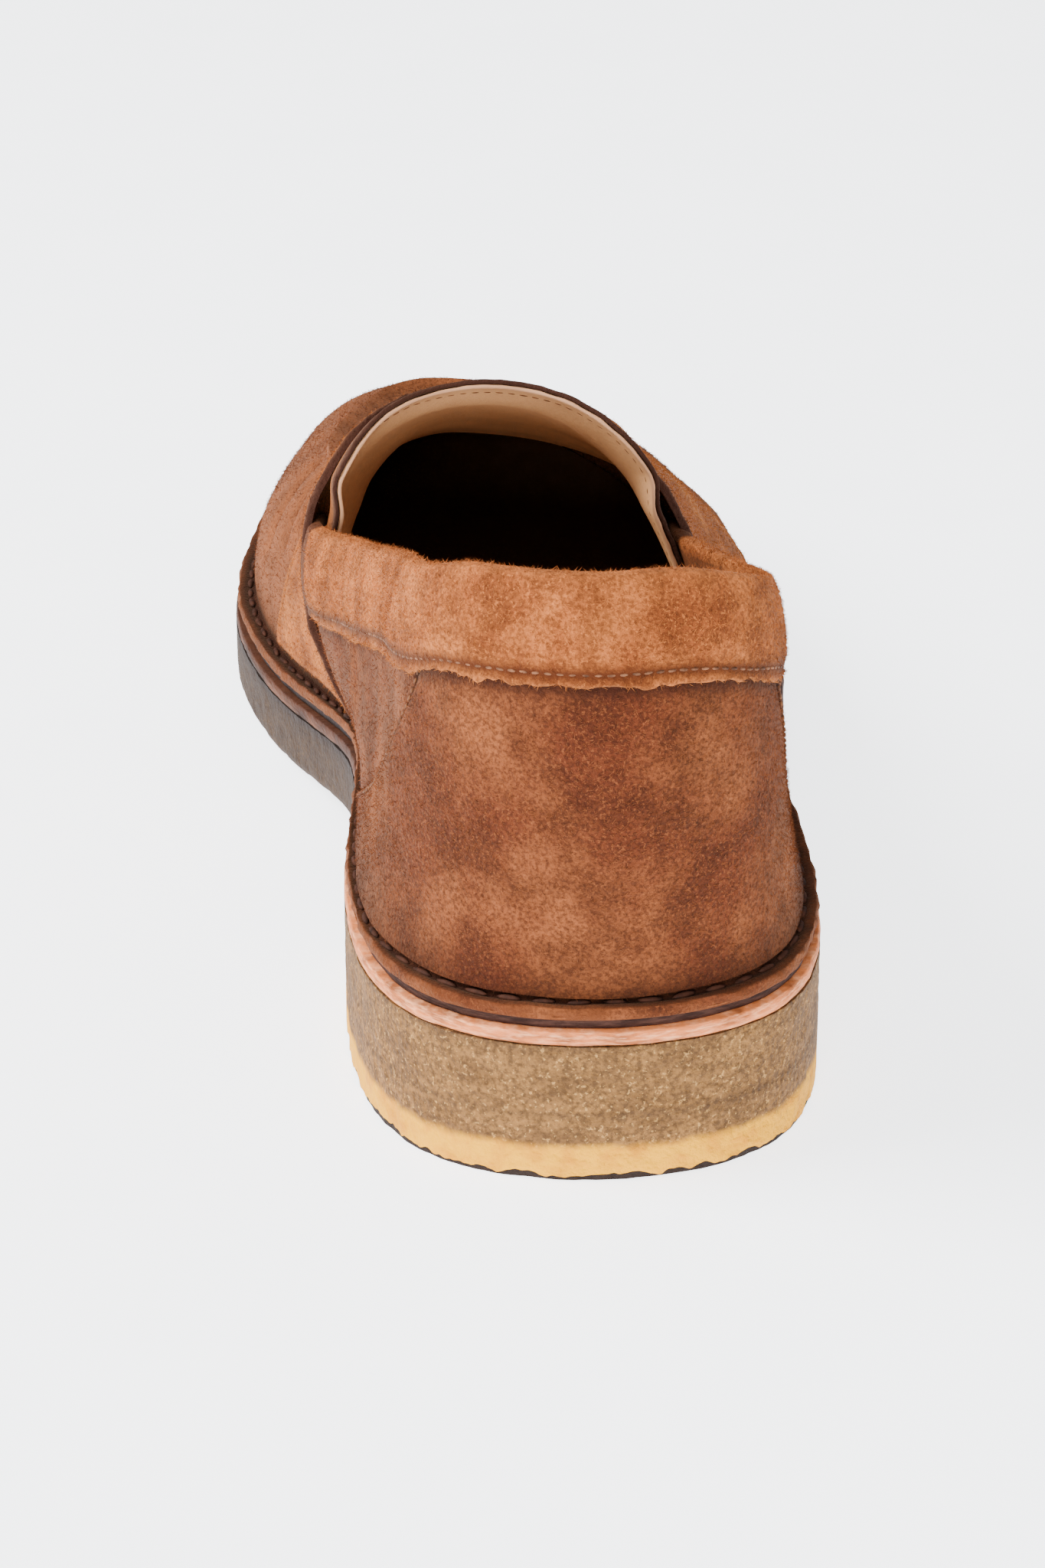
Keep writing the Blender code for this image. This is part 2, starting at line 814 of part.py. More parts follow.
BAND = COLLAR_BAND_HEIGHT
INNER = COLLAR_INNER_DEPTH
COLLAR_INSIDE = -UPPER_THICKNESS - LAP_GAP
COLLAR_LINING = COLLAR_INSIDE - COLLAR_LEAF
COLLAR_FOLDS = (
    CollarFold(LAP_GAP, 0.55, BAND, LAP_GAP, BAND),
    CollarFold(LAP_GAP, 0.76, 0.80 * BAND, LAP_GAP, 0.75 * BAND),
    CollarFold(LAP_GAP, 1.00, 0.45 * BAND, LAP_GAP, 0.50 * BAND),
    CollarFold(LAP_GAP, 0.92, 0.15 * BAND, LAP_GAP, 0.22 * BAND),
    CollarFold(LAP_GAP, 0.50, -0.6 * COLLAR_RISE, LAP_GAP, -LAP_GAP),
    CollarFold(-0.5 * UPPER_THICKNESS, 0.0, -COLLAR_RISE, -0.5 * UPPER_THICKNESS, -LAP_GAP),
    CollarFold(COLLAR_LINING, 0.0, -0.5 * COLLAR_RISE, COLLAR_INSIDE, -LAP_GAP),
    CollarFold(COLLAR_LINING, 0.0, 0.2 * INNER, COLLAR_INSIDE, 0.3 * INNER),
    CollarFold(COLLAR_LINING, 0.0, 0.6 * INNER, COLLAR_INSIDE, 0.6 * INNER),
    CollarFold(COLLAR_LINING, 0.0, INNER, COLLAR_INSIDE, INNER),
)


def collar_point(station: float, out: float, down: float) -> np.ndarray:
    """A point near the topline: it follows the wall below the top edge and stands straight above it."""
    top = topline_share(station)
    if down > 0:
        return skin(station, share_below(station, top, down), out)
    edge = last_point(station, top)
    rise = edge - last_point(station, top - 0.02)
    return edge + last_normal(station, top) * out - rise * down / np.linalg.norm(rise)


def collar_puff(station: float) -> float:
    """The padding thins towards the band's ends, which tuck under the saddle."""
    thin = smooth_step((abs(station) / THROAT_SIDE - 0.7) / 0.3)
    return COLLAR_PUFF + (COLLAR_END_PUFF - COLLAR_PUFF) * thin


def make_collar() -> bpy.types.Object:
    """A folded suede band, slightly padded, which holds the top edge of the quarters in its slot."""
    cover = []
    slot = []
    for station in np.linspace(-THROAT_SIDE, THROAT_SIDE, 2 * HEEL_STEPS + 1):
        puff = collar_puff(station)
        cover.append(
            [
                collar_point(station, row.cover_out + row.cover_puff * puff, row.cover_down)
                for row in COLLAR_FOLDS
            ]
        )
        slot.append([collar_point(station, row.slot_out, row.slot_down) for row in COLLAR_FOLDS])
    return shell("collar", cover, slot, SUEDE)


# Saddle

SADDLE_REAR = table_curve(SADDLE_EDGES, "share", lambda row: row.rear)
SADDLE_FRONT = table_curve(SADDLE_EDGES, "share", lambda row: row.front)


def above_collar(share: float, clear: float) -> float:
    """Rises from 0 to 1 over the part of a spoke just above the ends of the collar."""
    top = max(topline_share(THROAT_SIDE), topline_share(-THROAT_SIDE))
    return smooth_step((share - top - clear) / 0.10)


def saddle_lift(along: float, share: float) -> float:
    """How far the saddle stands off the upper: it rides over the collar's ends."""
    top = topline_share(THROAT_SIDE)
    foot = share_below(THROAT_SIDE, top, COLLAR_BAND_HEIGHT)
    over = LAP_GAP + COLLAR_END_PUFF
    beyond = 1 - smooth_step((along - THROAT_SIDE_ALONG - 0.004) / 0.03)
    above_foot = smooth_step((share - foot + 0.10) / 0.09)
    return 1.5 * LAP_GAP + over * beyond * above_foot * (1 - above_collar(share, 0.05))


def make_saddle() -> bpy.types.Object:
    """The band over the instep, from flange to flange, in one piece."""
    outer = []
    inner = []
    for turn in np.linspace(-1, 1, 43):
        share = SADDLE_FOOT_SHARE + (1 - SADDLE_FOOT_SHARE) * (1 - abs(turn))
        side = 1 if turn >= 0 else -1
        out_row = []
        in_row = []
        for part in np.linspace(0, 1, 10):
            along = SADDLE_REAR(share) + (SADDLE_FRONT(share) - SADDLE_REAR(share)) * part
            station = side * CREASE.station_at(along * SHOE_LENGTH)
            lift = saddle_lift(along, share)
            out_row.append(skin(station, share, lift + SADDLE_THICKNESS))
            in_row.append(skin(station, share, lift))
        outer.append(out_row)
        inner.append(in_row)
    return shell("saddle", outer, inner, SUEDE)


# Tongue

TONGUE_REAR = table_curve(TONGUE_EDGES, "share", lambda row: row.rear)
TONGUE_FRONT = table_curve(TONGUE_EDGES, "share", lambda row: row.front)


TONGUE_COLUMNS = (0.0, 0.07, 0.14, 0.22, 0.35, 0.55, 0.78, 1.0)


def tongue_depth(along: float, share: float) -> float:
    """How far inside the last the tongue's outer face lies.

    Its sides pass inside the collar, and its top comes up through the throat under the saddle.
    """
    under = UPPER_THICKNESS + 2 * LAP_GAP
    leaf = COLLAR_LEAF + LAP_GAP
    side = 1 - above_collar(share, 0.04)
    rear = TONGUE_REAR(share)
    below = smooth_step((along - rear) / (THROAT_SIDE_ALONG - 0.005 - rear))
    free = (1 - below) * (1 - side)
    return leaf * side + under * (1 - free) - TONGUE_FLARE * free


def tongue_layer(
    name: str, above: float, thickness: float, finish: Finish
) -> bpy.types.Object:
    """A layer of the tongue, below its outer face by a distance."""
    outer = []
    inner = []
    for turn in np.linspace(-1, 1, 37):
        share = TONGUE_FOOT_SHARE + (1 - TONGUE_FOOT_SHARE) * (1 - abs(turn))
        side = 1 if turn >= 0 else -1
        out_row = []
        in_row = []
        for part in TONGUE_COLUMNS:
            along = TONGUE_REAR(share) + (TONGUE_FRONT(share) - TONGUE_REAR(share)) * part
            station = side * CREASE.station_at(along * SHOE_LENGTH)
            depth = tongue_depth(along, share) + above
            out_row.append(skin(station, share, -depth))
            in_row.append(skin(station, share, -depth - thickness))
        outer.append(out_row)
        inner.append(in_row)
    return shell(name, outer, inner, finish)


def make_tongue() -> bpy.types.Object:
    return tongue_layer("tongue", 0.0, TONGUE_THICKNESS, SUEDE)


def make_tongue_lining() -> bpy.types.Object:
    return tongue_layer(
        "tongue_lining",
        TONGUE_THICKNESS + FIT_GAP,
        TONGUE_LINING_THICKNESS,
        LINING_LEATHER,
    )


# Assembly

def stand_on_origin(parts: Sequence[bpy.types.Object]) -> None:
    """Moves the shoe so that the middle of its box stands on the origin."""
    points = np.array([v.co for part in parts for v in part.data.vertices])
    middle = (points.min(0) + points.max(0)) / 2
    for part in parts:
        for vertex in part.data.vertices:
            vertex.co.x -= middle[0]
            vertex.co.y -= middle[1]


def main() -> None:
    for old in list(bpy.data.objects):
        bpy.data.objects.remove(old)
    parts = [
        make_heel_lift(),
        make_outsole(),
        make_midsole(),
        make_rand(),
        make_insole(),
        make_upper(),
        make_counter(),
        make_collar(),
        make_saddle(),
        make_tongue(),
        make_tongue_lining(),
    ]
    stand_on_origin(parts)


main()
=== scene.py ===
"""Looks of the right saddle loafer: finer suede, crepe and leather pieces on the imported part.

Metres, +Z up, toe towards +Y, outer side of the foot towards +X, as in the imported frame.
The suede pieces are cut from the same last surface as the part's: spokes that rise from the
crease at the foot of the wall to the spine. A station runs from 0 at the heel back to 1 at the
toe tip, negative on the inner side.
"""

import logging
import math
from dataclasses import dataclass
from enum import Enum
from typing import Callable, NamedTuple, Sequence

import bmesh
import bpy
import numpy as np
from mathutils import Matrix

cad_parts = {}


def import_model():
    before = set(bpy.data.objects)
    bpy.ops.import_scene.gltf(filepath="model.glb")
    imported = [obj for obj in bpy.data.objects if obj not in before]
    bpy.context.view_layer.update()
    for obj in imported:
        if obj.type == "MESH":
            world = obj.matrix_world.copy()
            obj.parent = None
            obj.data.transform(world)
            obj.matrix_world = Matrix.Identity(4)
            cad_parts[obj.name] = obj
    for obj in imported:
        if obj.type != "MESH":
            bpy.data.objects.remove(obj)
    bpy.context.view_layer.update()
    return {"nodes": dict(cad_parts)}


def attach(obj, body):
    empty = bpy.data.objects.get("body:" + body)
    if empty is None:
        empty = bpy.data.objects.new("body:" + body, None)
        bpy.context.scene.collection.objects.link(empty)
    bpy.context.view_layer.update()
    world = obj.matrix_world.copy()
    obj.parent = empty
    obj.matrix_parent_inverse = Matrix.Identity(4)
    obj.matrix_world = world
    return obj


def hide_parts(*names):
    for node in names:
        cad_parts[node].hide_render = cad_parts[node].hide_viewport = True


LOG = logging.getLogger("loafer")

# Plan of the sole
SHOE_LENGTH = 0.292
BALL_WIDTH = 0.101
HEEL_WIDTH = 0.073

# Heights of the last
INSTEP_HEIGHT = 0.0805
TOE_HEIGHT = 0.037
BACK_HEIGHT = 0.0625
TOE_SPRING = 0.007

# Sole layers, from the floor up
HEEL_LIFT_THICKNESS = 0.0107
OUTSOLE_THICKNESS = 0.0110
MIDSOLE_THICKNESS = 0.0020
RAND_THICKNESS = 0.0016
INSOLE_THICKNESS = 0.0025

# Leather thicknesses, where a skived edge shows thinner than the solid of the part
UPPER_THICKNESS = 0.0015
WALL_THICKNESS = 0.0010
COUNTER_THICKNESS = 0.0010
SADDLE_THICKNESS = 0.0010
TONGUE_THICKNESS = 0.0008
TONGUE_LINING_THICKNESS = 0.0007
TONGUE_FLARE = 0.0005

# Flange, apron seam and collar band
FLANGE_WIDTH = 0.0044
FLANGE_EDGE_INSET = 0.0005
APRON_SEAM_HEIGHT = 0.0014
APRON_SEAM_WIDTH = 0.0034
COLLAR_BAND_HEIGHT = 0.0142
COLLAR_RISE = 0.0022
COLLAR_PUFF = 0.0017
COLLAR_END_PUFF = 0.0003
COLLAR_LEAF = 0.0005
COLLAR_INNER_DEPTH = 0.0120
FIT_GAP = 0.0003
LAP_GAP = 0.0004

# Places along the shoe, as shares of its length
HEEL_BREAST_ALONG = 0.27
BALL_START_ALONG = 0.60
BALL_END_ALONG = 0.73
THROAT_SIDE_ALONG = 0.415
THROAT_ALONG = 0.455
COLLAR_THIN_ALONG = 0.372
COLLAR_FLAT_ALONG = 0.392
APRON_SEAM_START_ALONG = 0.535
APRON_SEAM_FULL_ALONG = 0.575

# Shares of a spoke, from the crease at 0 to the spine at 1
SEAM_SHARE_OF_OPEN_SPOKE = 0.62
COUNTER_FOOT_SHARE = 0.005
COUNTER_TOP_SHARE = 0.48
SADDLE_FOOT_SHARE = 0.030
TONGUE_FOOT_SHARE = 0.28

# Where the photograph was taken from, relative to the middle of the shoe on the floor
CAMERA_PLACE = (-0.0533, -0.661, 0.290)
CAMERA_PITCH = 23.6
CAMERA_YAW = -4.6
CAMERA_LENS = 92.0
CAMERA_SENSOR = 36.0


class EdgePoint(NamedTuple):
    """A point of the sole's outline. Across is a share of the heel width plus one of the ball width."""

    along: float
    of_heel: float
    of_ball: float


OUTLINE = (
    EdgePoint(0.0, 0.0, 0.0),
    EdgePoint(0.0325, 0.352, 0.0),
    EdgePoint(0.137, 0.5, 0.0),
    EdgePoint(0.36, 0.25, 0.20),
    EdgePoint(0.50, 0.0, 0.455),
    EdgePoint(0.62, 0.0, 0.49),
    EdgePoint(0.795, 0.0, 0.41),
    EdgePoint(0.940, 0.0, 0.225),
    EdgePoint(1.0, 0.0, -0.07),
    EdgePoint(0.958, 0.0, -0.318),
    EdgePoint(0.86, 0.0, -0.44),
    EdgePoint(0.69, 0.0, -0.51),
    EdgePoint(0.535, 0.0, -0.425),
    EdgePoint(0.41, -0.25, -0.155),
    EdgePoint(0.145, -0.5, 0.0),
    EdgePoint(0.0325, -0.352, 0.0),
)


class SpinePoint(NamedTuple):
    """A point of the last's spine. Its height is a share of the instep height plus one of the toe height."""

    along: float
    of_ball: float
    of_instep: float
    of_toe: float


SPINE = (
    SpinePoint(0.145, 0.0, 1.56, 0.0),
    SpinePoint(0.25, -0.03, 1.36, 0.0),
    SpinePoint(0.35, -0.09, 1.142, 0.0),
    SpinePoint(0.43, -0.112, 1.012, 0.0),
    SpinePoint(0.55, -0.115, 0.52, 0.66),
    SpinePoint(0.68, -0.11, 0.26, 0.86),
    SpinePoint(0.80, -0.105, 0.09, 0.97),
    SpinePoint(0.88, -0.095, 0.0, 1.0),
)


class FlangePoint(NamedTuple):
    """Distance from the crease to the edge of the sole: narrow at the waist, where the wall overhangs."""

    along: float
    inner: float
    outer: float


FLANGE = (
    FlangePoint(0.0, 0.0044, 0.0044),
    FlangePoint(0.045, 0.0042, 0.0042),
    FlangePoint(0.12, 0.0029, 0.0038),
    FlangePoint(0.40, 0.0030, 0.0042),
    FlangePoint(0.56, 0.0038, 0.0042),
    FlangePoint(1.0, 0.0042, 0.0042),
)


class Section(NamedTuple):
    """How a spoke bends, for a station. In is towards the spine and up is height, as shares of the spoke."""

    along: float
    aim: float
    low_up: float
    high_up: float
    low_in_inner: float
    low_in_outer: float
    high_in_inner: float
    high_in_outer: float
    seam: float


SECTIONS = (
    Section(0.0, 0.145, 0.33, 0.67, -0.03, -0.03, -0.26, -0.26, 0.62),
    Section(0.04, 0.145, 0.33, 0.67, 0.16, 0.16, -0.20, -0.20, 0.62),
    Section(0.14, 0.150, 0.33, 0.67, 0.26, 0.28, -0.10, -0.08, 0.62),
    Section(0.27, 0.265, 0.36, 0.76, -0.14, 0.21, -0.22, 0.02, 0.62),
    Section(0.38, 0.385, 0.45, 1.0, -0.82, 0.22, -0.50, 0.38, 0.60),
    Section(0.50, 0.500, 0.52, 1.0, -0.22, 0.07, 0.26, 0.42, 0.58),
    Section(0.65, 0.650, 0.56, 1.0, -0.06, -0.02, 0.46, 0.48, 0.60),
    Section(0.80, 0.780, 0.62, 1.0, -0.05, -0.05, 0.44, 0.44, 0.66),
    Section(0.93, 0.865, 0.66, 1.0, -0.05, -0.05, 0.38, 0.38, 0.74),
    Section(1.0, 0.880, 0.68, 1.0, -0.05, -0.05, 0.36, 0.36, 0.77),
)


class TopPoint(NamedTuple):
    """A point of the topline in side view. Heights are shares of the back height."""

    along: float
    inner: float
    outer: float


TOPLINE = (
    TopPoint(0.0, 1.0, 1.0),
    TopPoint(0.035, 0.99, 0.99),
    TopPoint(0.060, 0.975, 0.935),
    TopPoint(0.096, 0.915, 0.865),
    TopPoint(0.16, 0.835, 0.765),
    TopPoint(0.25, 0.705, 0.630),
    TopPoint(0.34, 0.587, 0.530),
    TopPoint(0.42, 0.505, 0.47),
)


class BandEdge(NamedTuple):
    """Where the rear and front edges of the saddle or tongue cross a spoke."""

    share: float
    rear: float
    front: float


SADDLE_EDGES = (
    BandEdge(0.0, 0.400, 0.590),
    BandEdge(0.25, 0.388, 0.570),
    BandEdge(0.55, 0.383, 0.548),
    BandEdge(0.80, 0.404, 0.540),
    BandEdge(0.93, 0.415, 0.540),
    BandEdge(1.0, 0.415, 0.540),
)
TONGUE_EDGES = (
    BandEdge(0.28, 0.360, 0.500),
    BandEdge(0.45, 0.358, 0.540),
    BandEdge(0.60, 0.355, 0.560),
    BandEdge(0.80, 0.372, 0.590),
    BandEdge(0.93, 0.382, 0.600),
    BandEdge(1.0, 0.382, 0.600),
)


class CounterEdge(NamedTuple):
    """Where the counter's front seam crosses a spoke."""

    share: float
    along: float


COUNTER_EDGES = (
    CounterEdge(0.0, 0.270),
    CounterEdge(0.10, 0.222),
    CounterEdge(0.18, 0.177),
    CounterEdge(0.30, 0.122),
    CounterEdge(0.45, 0.078),
    CounterEdge(0.60, 0.060),
)

Array = np.ndarray
Profile = Callable[[Array], Array]


# Curves, noise and the last surface

class Curve:
    """A smooth curve through the rows of a table, which never swings past them."""

    def __init__(self, knots: Sequence[float], values: Sequence[float]) -> None:
        """Works out the slopes at the knots.

        Args:
            knots: Rising places of the rows.
            values: The value at each row.
        """
        self.x = np.asarray(knots, float)
        self.y = np.asarray(values, float)
        self.step = np.diff(self.x)
        slope = np.diff(self.y) / self.step
        self.tangent = np.zeros_like(self.y)
        self.tangent[0] = slope[0]
        self.tangent[-1] = slope[-1]
        for i in range(1, len(self.x) - 1):
            if slope[i - 1] * slope[i] > 0:
                before = 2 * self.step[i] + self.step[i - 1]
                after = self.step[i] + 2 * self.step[i - 1]
                self.tangent[i] = (before + after) / (before / slope[i - 1] + after / slope[i])

    def __call__(self, at: Array | float) -> Array:
        """The curve's value.

        Args:
            at: One place or many.

        Returns:
            As many values as places.
        """
        at = np.clip(np.asarray(at, float), self.x[0], self.x[-1])
        i = np.clip(np.searchsorted(self.x, at, side="right") - 1, 0, len(self.step) - 1)
        t = (at - self.x[i]) / self.step[i]
        return (
            (1 + 2 * t) * (1 - t) ** 2 * self.y[i]
            + t * (1 - t) ** 2 * self.step[i] * self.tangent[i]
            + t * t * (3 - 2 * t) * self.y[i + 1]
            + t * t * (t - 1) * self.step[i] * self.tangent[i + 1]
        )


def column(rows: Sequence, knot: str, value: Callable) -> Curve:
    """A curve through one column, or a mix of columns, of a table."""
    return Curve([getattr(row, knot) for row in rows], [value(row) for row in rows])


def smooth_step(t: Array | float) -> Array:
    """Rises from 0 to 1 without a kink."""
    t = np.clip(t, 0.0, 1.0)
    return t * t * (3 - 2 * t)


def bump(distance: Array, width: float) -> Array:
    """A soft hill."""
    return np.exp(-((distance / width) ** 2))


def station_of(share: Array | float) -> Array:
    """The station of a share of the length: stations crowd at the heel and toe."""
    return np.arccos(1 - 2 * np.clip(share, 0.0, 1.0)) / math.pi


def value_noise(points: Array, size: float, seed: int) -> Array:
    """Smooth noise between -1 and 1.

    Args:
        points: Places, in the last axis.
        size: Size of a lump in metres.
        seed: Which noise.

    Returns:
        One value for each place.
    """
    cell = points / size + seed * 17.37
    low = np.floor(cell).astype(np.int64)
    part = cell - low
    part = part * part * (3 - 2 * part)
    total = np.zeros(points.shape[:-1])
    for corner in np.ndindex(2, 2, 2):
        at = low + corner
        mixed = at[..., 0] * 73856093 ^ at[..., 1] * 19349663 ^ at[..., 2] * 83492791
        mixed = (mixed ^ (mixed >> 13)) * 1274126177 & 0x7FFFFFFF
        weight = np.ones(points.shape[:-1])
        for axis in range(3):
            weight = weight * (part[..., axis] if corner[axis] else 1 - part[..., axis])
        total += weight * (mixed / 0x3FFFFFFF - 1)
    return total


def closed_spline(points: Array, samples: int) -> Array:
    """Samples of the closed cubic spline through the points, spaced by their chords.

    Args:
        points: Corners of the loop.
        samples: How many samples.

    Returns:
        The samples.
    """
    count = len(points)
    chord = np.linalg.norm(np.roll(points, -1, axis=0) - points, axis=1)
    matrix = np.zeros((count, count))
    right = np.zeros((count, 2))
    for i in range(count):
        matrix[i, i - 1] = chord[i - 1]
        matrix[i, i] = 2 * (chord[i - 1] + chord[i])
        matrix[i, (i + 1) % count] = chord[i]
        slope_after = (points[(i + 1) % count] - points[i]) / chord[i]
        slope_before = (points[i] - points[i - 1]) / chord[i - 1]
        right[i] = 6 * (slope_after - slope_before)
    bend = np.linalg.solve(matrix, right)
    starts = np.concatenate([[0.0], np.cumsum(chord)])
    at = np.linspace(0, starts[-1], samples, endpoint=False)
    i = np.searchsorted(starts, at, side="right") - 1
    j = (i + 1) % count
    h = chord[i][:, None]
    a = (starts[i + 1] - at)[:, None] / h
    b = 1 - a
    cubic = (a**3 - a) * bend[i] + (b**3 - b) * bend[j]
    return a * points[i] + b * points[j] + cubic * h * h / 6


def outward_normals(loop: Array) -> Array:
    """Unit normals of a closed loop that runs anticlockwise seen from above.

    Args:
        loop: Points of the loop.

    Returns:
        A normal for each point.
    """
    ahead = np.roll(loop, -1, axis=0) - np.roll(loop, 1, axis=0)
    normals = np.stack([ahead[:, 1], -ahead[:, 0]], axis=1)
    return normals / np.linalg.norm(normals, axis=1, keepdims=True)


SOLE_EDGE = closed_spline(
    np.array([[p.of_heel * HEEL_WIDTH + p.of_ball * BALL_WIDTH, p.along * SHOE_LENGTH] for p in OUTLINE]),
    1440,
)
SOLE_NORMALS = outward_normals(SOLE_EDGE)
FLANGE_INNER = column(FLANGE, "along", lambda row: row.inner)
FLANGE_OUTER = column(FLANGE, "along", lambda row: row.outer)
SHIFT = np.array([*(SOLE_EDGE.min(0) + SOLE_EDGE.max(0)) / 2, 0.0])


class PlanCurve:
    """The sole's outline moved inwards, read by station."""

    def __init__(self, inset: Profile, outer: Profile | None = None) -> None:
        """Moves the outline.

        Args:
            inset: Distance inwards, for a share of the length.
            outer: The same for the outer side, where it differs.
        """
        share = SOLE_EDGE[:, 1] / SHOE_LENGTH
        moved = np.where(SOLE_EDGE[:, 0] > 0, (outer or inset)(share), inset(share))
        loop = SOLE_EDGE - SOLE_NORMALS * moved[:, None]
        normals = outward_normals(loop)
        heel = int(np.argmin(loop[:, 1]))
        loop = np.roll(loop, -heel, axis=0)
        normals = np.roll(normals, -heel, axis=0)
        toe = int(np.argmax(loop[:, 1]))
        self.back = loop[0, 1]
        self.front = loop[toe, 1]
        self.sides = {}
        inner = np.concatenate([[0], np.arange(len(loop) - 1, toe - 1, -1)])
        for side, order in ((1, np.arange(0, toe + 1)), (-1, inner)):
            share = (loop[order, 1] - self.back) / (self.front - self.back)
            station = np.maximum.accumulate(station_of(share))
            self.sides[side] = (station, loop[order], normals[order])

    def at(self, station: Array) -> tuple[Array, Array]:
        """Points and outward normals.

        Args:
            station: Stations, negative on the inner side.

        Returns:
            The points in plan and their unit normals.
        """
        station = np.asarray(station, float)
        made = []
        for kind in (1, 2):
            both = []
            for side in (1, -1):
                data = self.sides[side]
                both.append(
                    np.stack([np.interp(np.abs(station), data[0], data[kind][:, k]) for k in (0, 1)], -1)
                )
            made.append(np.where(station[..., None] >= 0, both[0], both[1]))
        return made[0], made[1] / np.linalg.norm(made[1], axis=-1, keepdims=True)

    def station_at(self, y: Array | float) -> Array:
        """The station at a distance along the shoe."""
        return station_of((y - self.back) / (self.front - self.back))


def underside(y: Array) -> Array:
    """Height of the outsole's underside above the floor.

    Args:
        y: Distance from the heel back.

    Returns:
        The height.
    """
    share = y / SHOE_LENGTH
    fall = smooth_step((share - HEEL_BREAST_ALONG) / (BALL_START_ALONG - HEEL_BREAST_ALONG))
    toe = np.maximum(0.0, (share - BALL_END_ALONG) / (1 - BALL_END_ALONG))
    return (HEEL_LIFT_THICKNESS + FIT_GAP) * (1 - fall) + TOE_SPRING * toe**2


OUTSOLE_TOP = OUTSOLE_THICKNESS
MIDSOLE_TOP = OUTSOLE_TOP + FIT_GAP + MIDSOLE_THICKNESS
RAND_TOP = MIDSOLE_TOP + FIT_GAP + RAND_THICKNESS
FLANGE_UNDER = RAND_TOP + FIT_GAP
FLANGE_TOP = FLANGE_UNDER + UPPER_THICKNESS


class Last:
    """The surface that the upper, counter, collar, saddle and tongue are cut from."""

    normal_step = 0.004
    ridge_share = 0.999

    def __init__(self) -> None:
        """Reads the tables."""
        self.crease = PlanCurve(FLANGE_INNER, FLANGE_OUTER)
        self.spine_across = column(SPINE, "along", lambda row: row.of_ball * BALL_WIDTH)
        self.spine_height = column(
            SPINE, "along", lambda row: row.of_instep * INSTEP_HEIGHT + row.of_toe * TOE_HEIGHT
        )
        self.topline = {
            -1: column(TOPLINE, "along", lambda row: row.inner * BACK_HEIGHT),
            1: column(TOPLINE, "along", lambda row: row.outer * BACK_HEIGHT),
        }
        stations = [float(station_of(row.along)) for row in SECTIONS]
        self.bend = {
            name: Curve(stations, [getattr(row, name) for row in SECTIONS]) for name in Section._fields[1:]
        }
        self.counter_along = column(COUNTER_EDGES, "share", lambda row: row.along)
        self.throat_side = float(self.crease.station_at(THROAT_SIDE_ALONG * SHOE_LENGTH))
        self.throat_end = float(self.crease.station_at(THROAT_ALONG * SHOE_LENGTH))

    def by_side(self, station: Array, name: str) -> Array:
        """A bend that differs between the two sides."""
        at = np.abs(station)
        return np.where(station >= 0, self.bend[name + "_outer"](at), self.bend[name + "_inner"](at))

    def spine(self, along: Array) -> Array:
        """Points of the spine."""
        along = np.asarray(along, float)
        return np.stack([self.spine_across(along), along * SHOE_LENGTH, self.spine_height(along)], -1)

    def spine_normal(self, along: Array) -> Array:
        """Unit vectors up and square to the spine.

        Args:
            along: Shares of the length.

        Returns:
            The vectors.
        """
        ahead = self.spine(along + 0.01) - self.spine(along - 0.01)
        normal = np.stack([np.zeros_like(ahead[..., 0]), -ahead[..., 2], ahead[..., 1]], -1)
        return normal / np.linalg.norm(normal, axis=-1, keepdims=True)

    def point(self, station: Array, share: Array) -> Array:
        """Points of the upper's outer surface.

        Args:
            station: Stations.
            share: Shares of their spokes.

        Returns:
            The points.
        """
        station, share = np.broadcast_arrays(np.asarray(station, float), np.asarray(share, float))
        station = np.where(station > 1, station - 2, np.where(station < -1, station + 2, station))
        at = np.abs(station)
        foot, _ = self.crease.at(station)
        base = underside(foot[..., 1]) + FLANGE_TOP
        top = self.spine(self.bend["aim"](at))
        low = 3 * (1 - share) ** 2 * share
        high = 3 * (1 - share) * share**2
        full = share**3
        inwards = low * self.by_side(station, "low_in") + high * self.by_side(station, "high_in") + full
        upwards = low * self.bend["low_up"](at) + high * self.bend["high_up"](at) + full
        plan = foot + (top[..., :2] - foot) * inwards[..., None]
        height = base + (top[..., 2] - base) * upwards
        return np.concatenate([plan, height[..., None]], -1)

    def normal(self, station: Array, share: Array) -> Array:
        """Outward unit normals.

        Args:
            station: Stations.
            share: Shares of their spokes.

        Returns:
            The normals.
        """
        station, share = np.broadcast_arrays(np.asarray(station, float), np.asarray(share, float))
        step = self.normal_step
        along = self.point(station + step, share) - self.point(station - step, share)
        up = self.point(station, share + step) - self.point(station, np.maximum(share - step, 0.0))
        normal = np.cross(along, up)
        normal = normal / np.maximum(np.linalg.norm(normal, axis=-1, keepdims=True), 1e-12)
        ridge = self.spine_normal(self.bend["aim"](np.abs(station)))
        return np.where(share[..., None] > self.ridge_share, ridge, normal)

    def skin(self, station: Array, share: Array, offset: Array | float) -> Array:
        """Points at a distance outside the surface, or inside it if negative."""
        offset = np.asarray(offset, float)[..., None]
        return self.point(station, share) + self.normal(station, share) * offset

    def spoke_length(self, station: Array, low: Array, high: Array) -> Array:
        """Length of a stretch of each spoke.

        Args:
            station: Stations.
            low: Share at its foot.
            high: Share at its top.

        Returns:
            The lengths.
        """
        shares = [low + (high - low) * t for t in np.linspace(0, 1, 12)]
        points = [self.point(station, s) for s in shares]
        return sum(np.linalg.norm(b - a, axis=-1) for a, b in zip(points, points[1:]))

    def share_below(self, station: Array, top: Array, distance: Array | float) -> Array:
        """The share of a spoke that lies a distance below another, measured on the surface."""
        low = np.maximum(top - 0.2, 0.0)
        return top - distance * (top - low) / self.spoke_length(station, low, top)

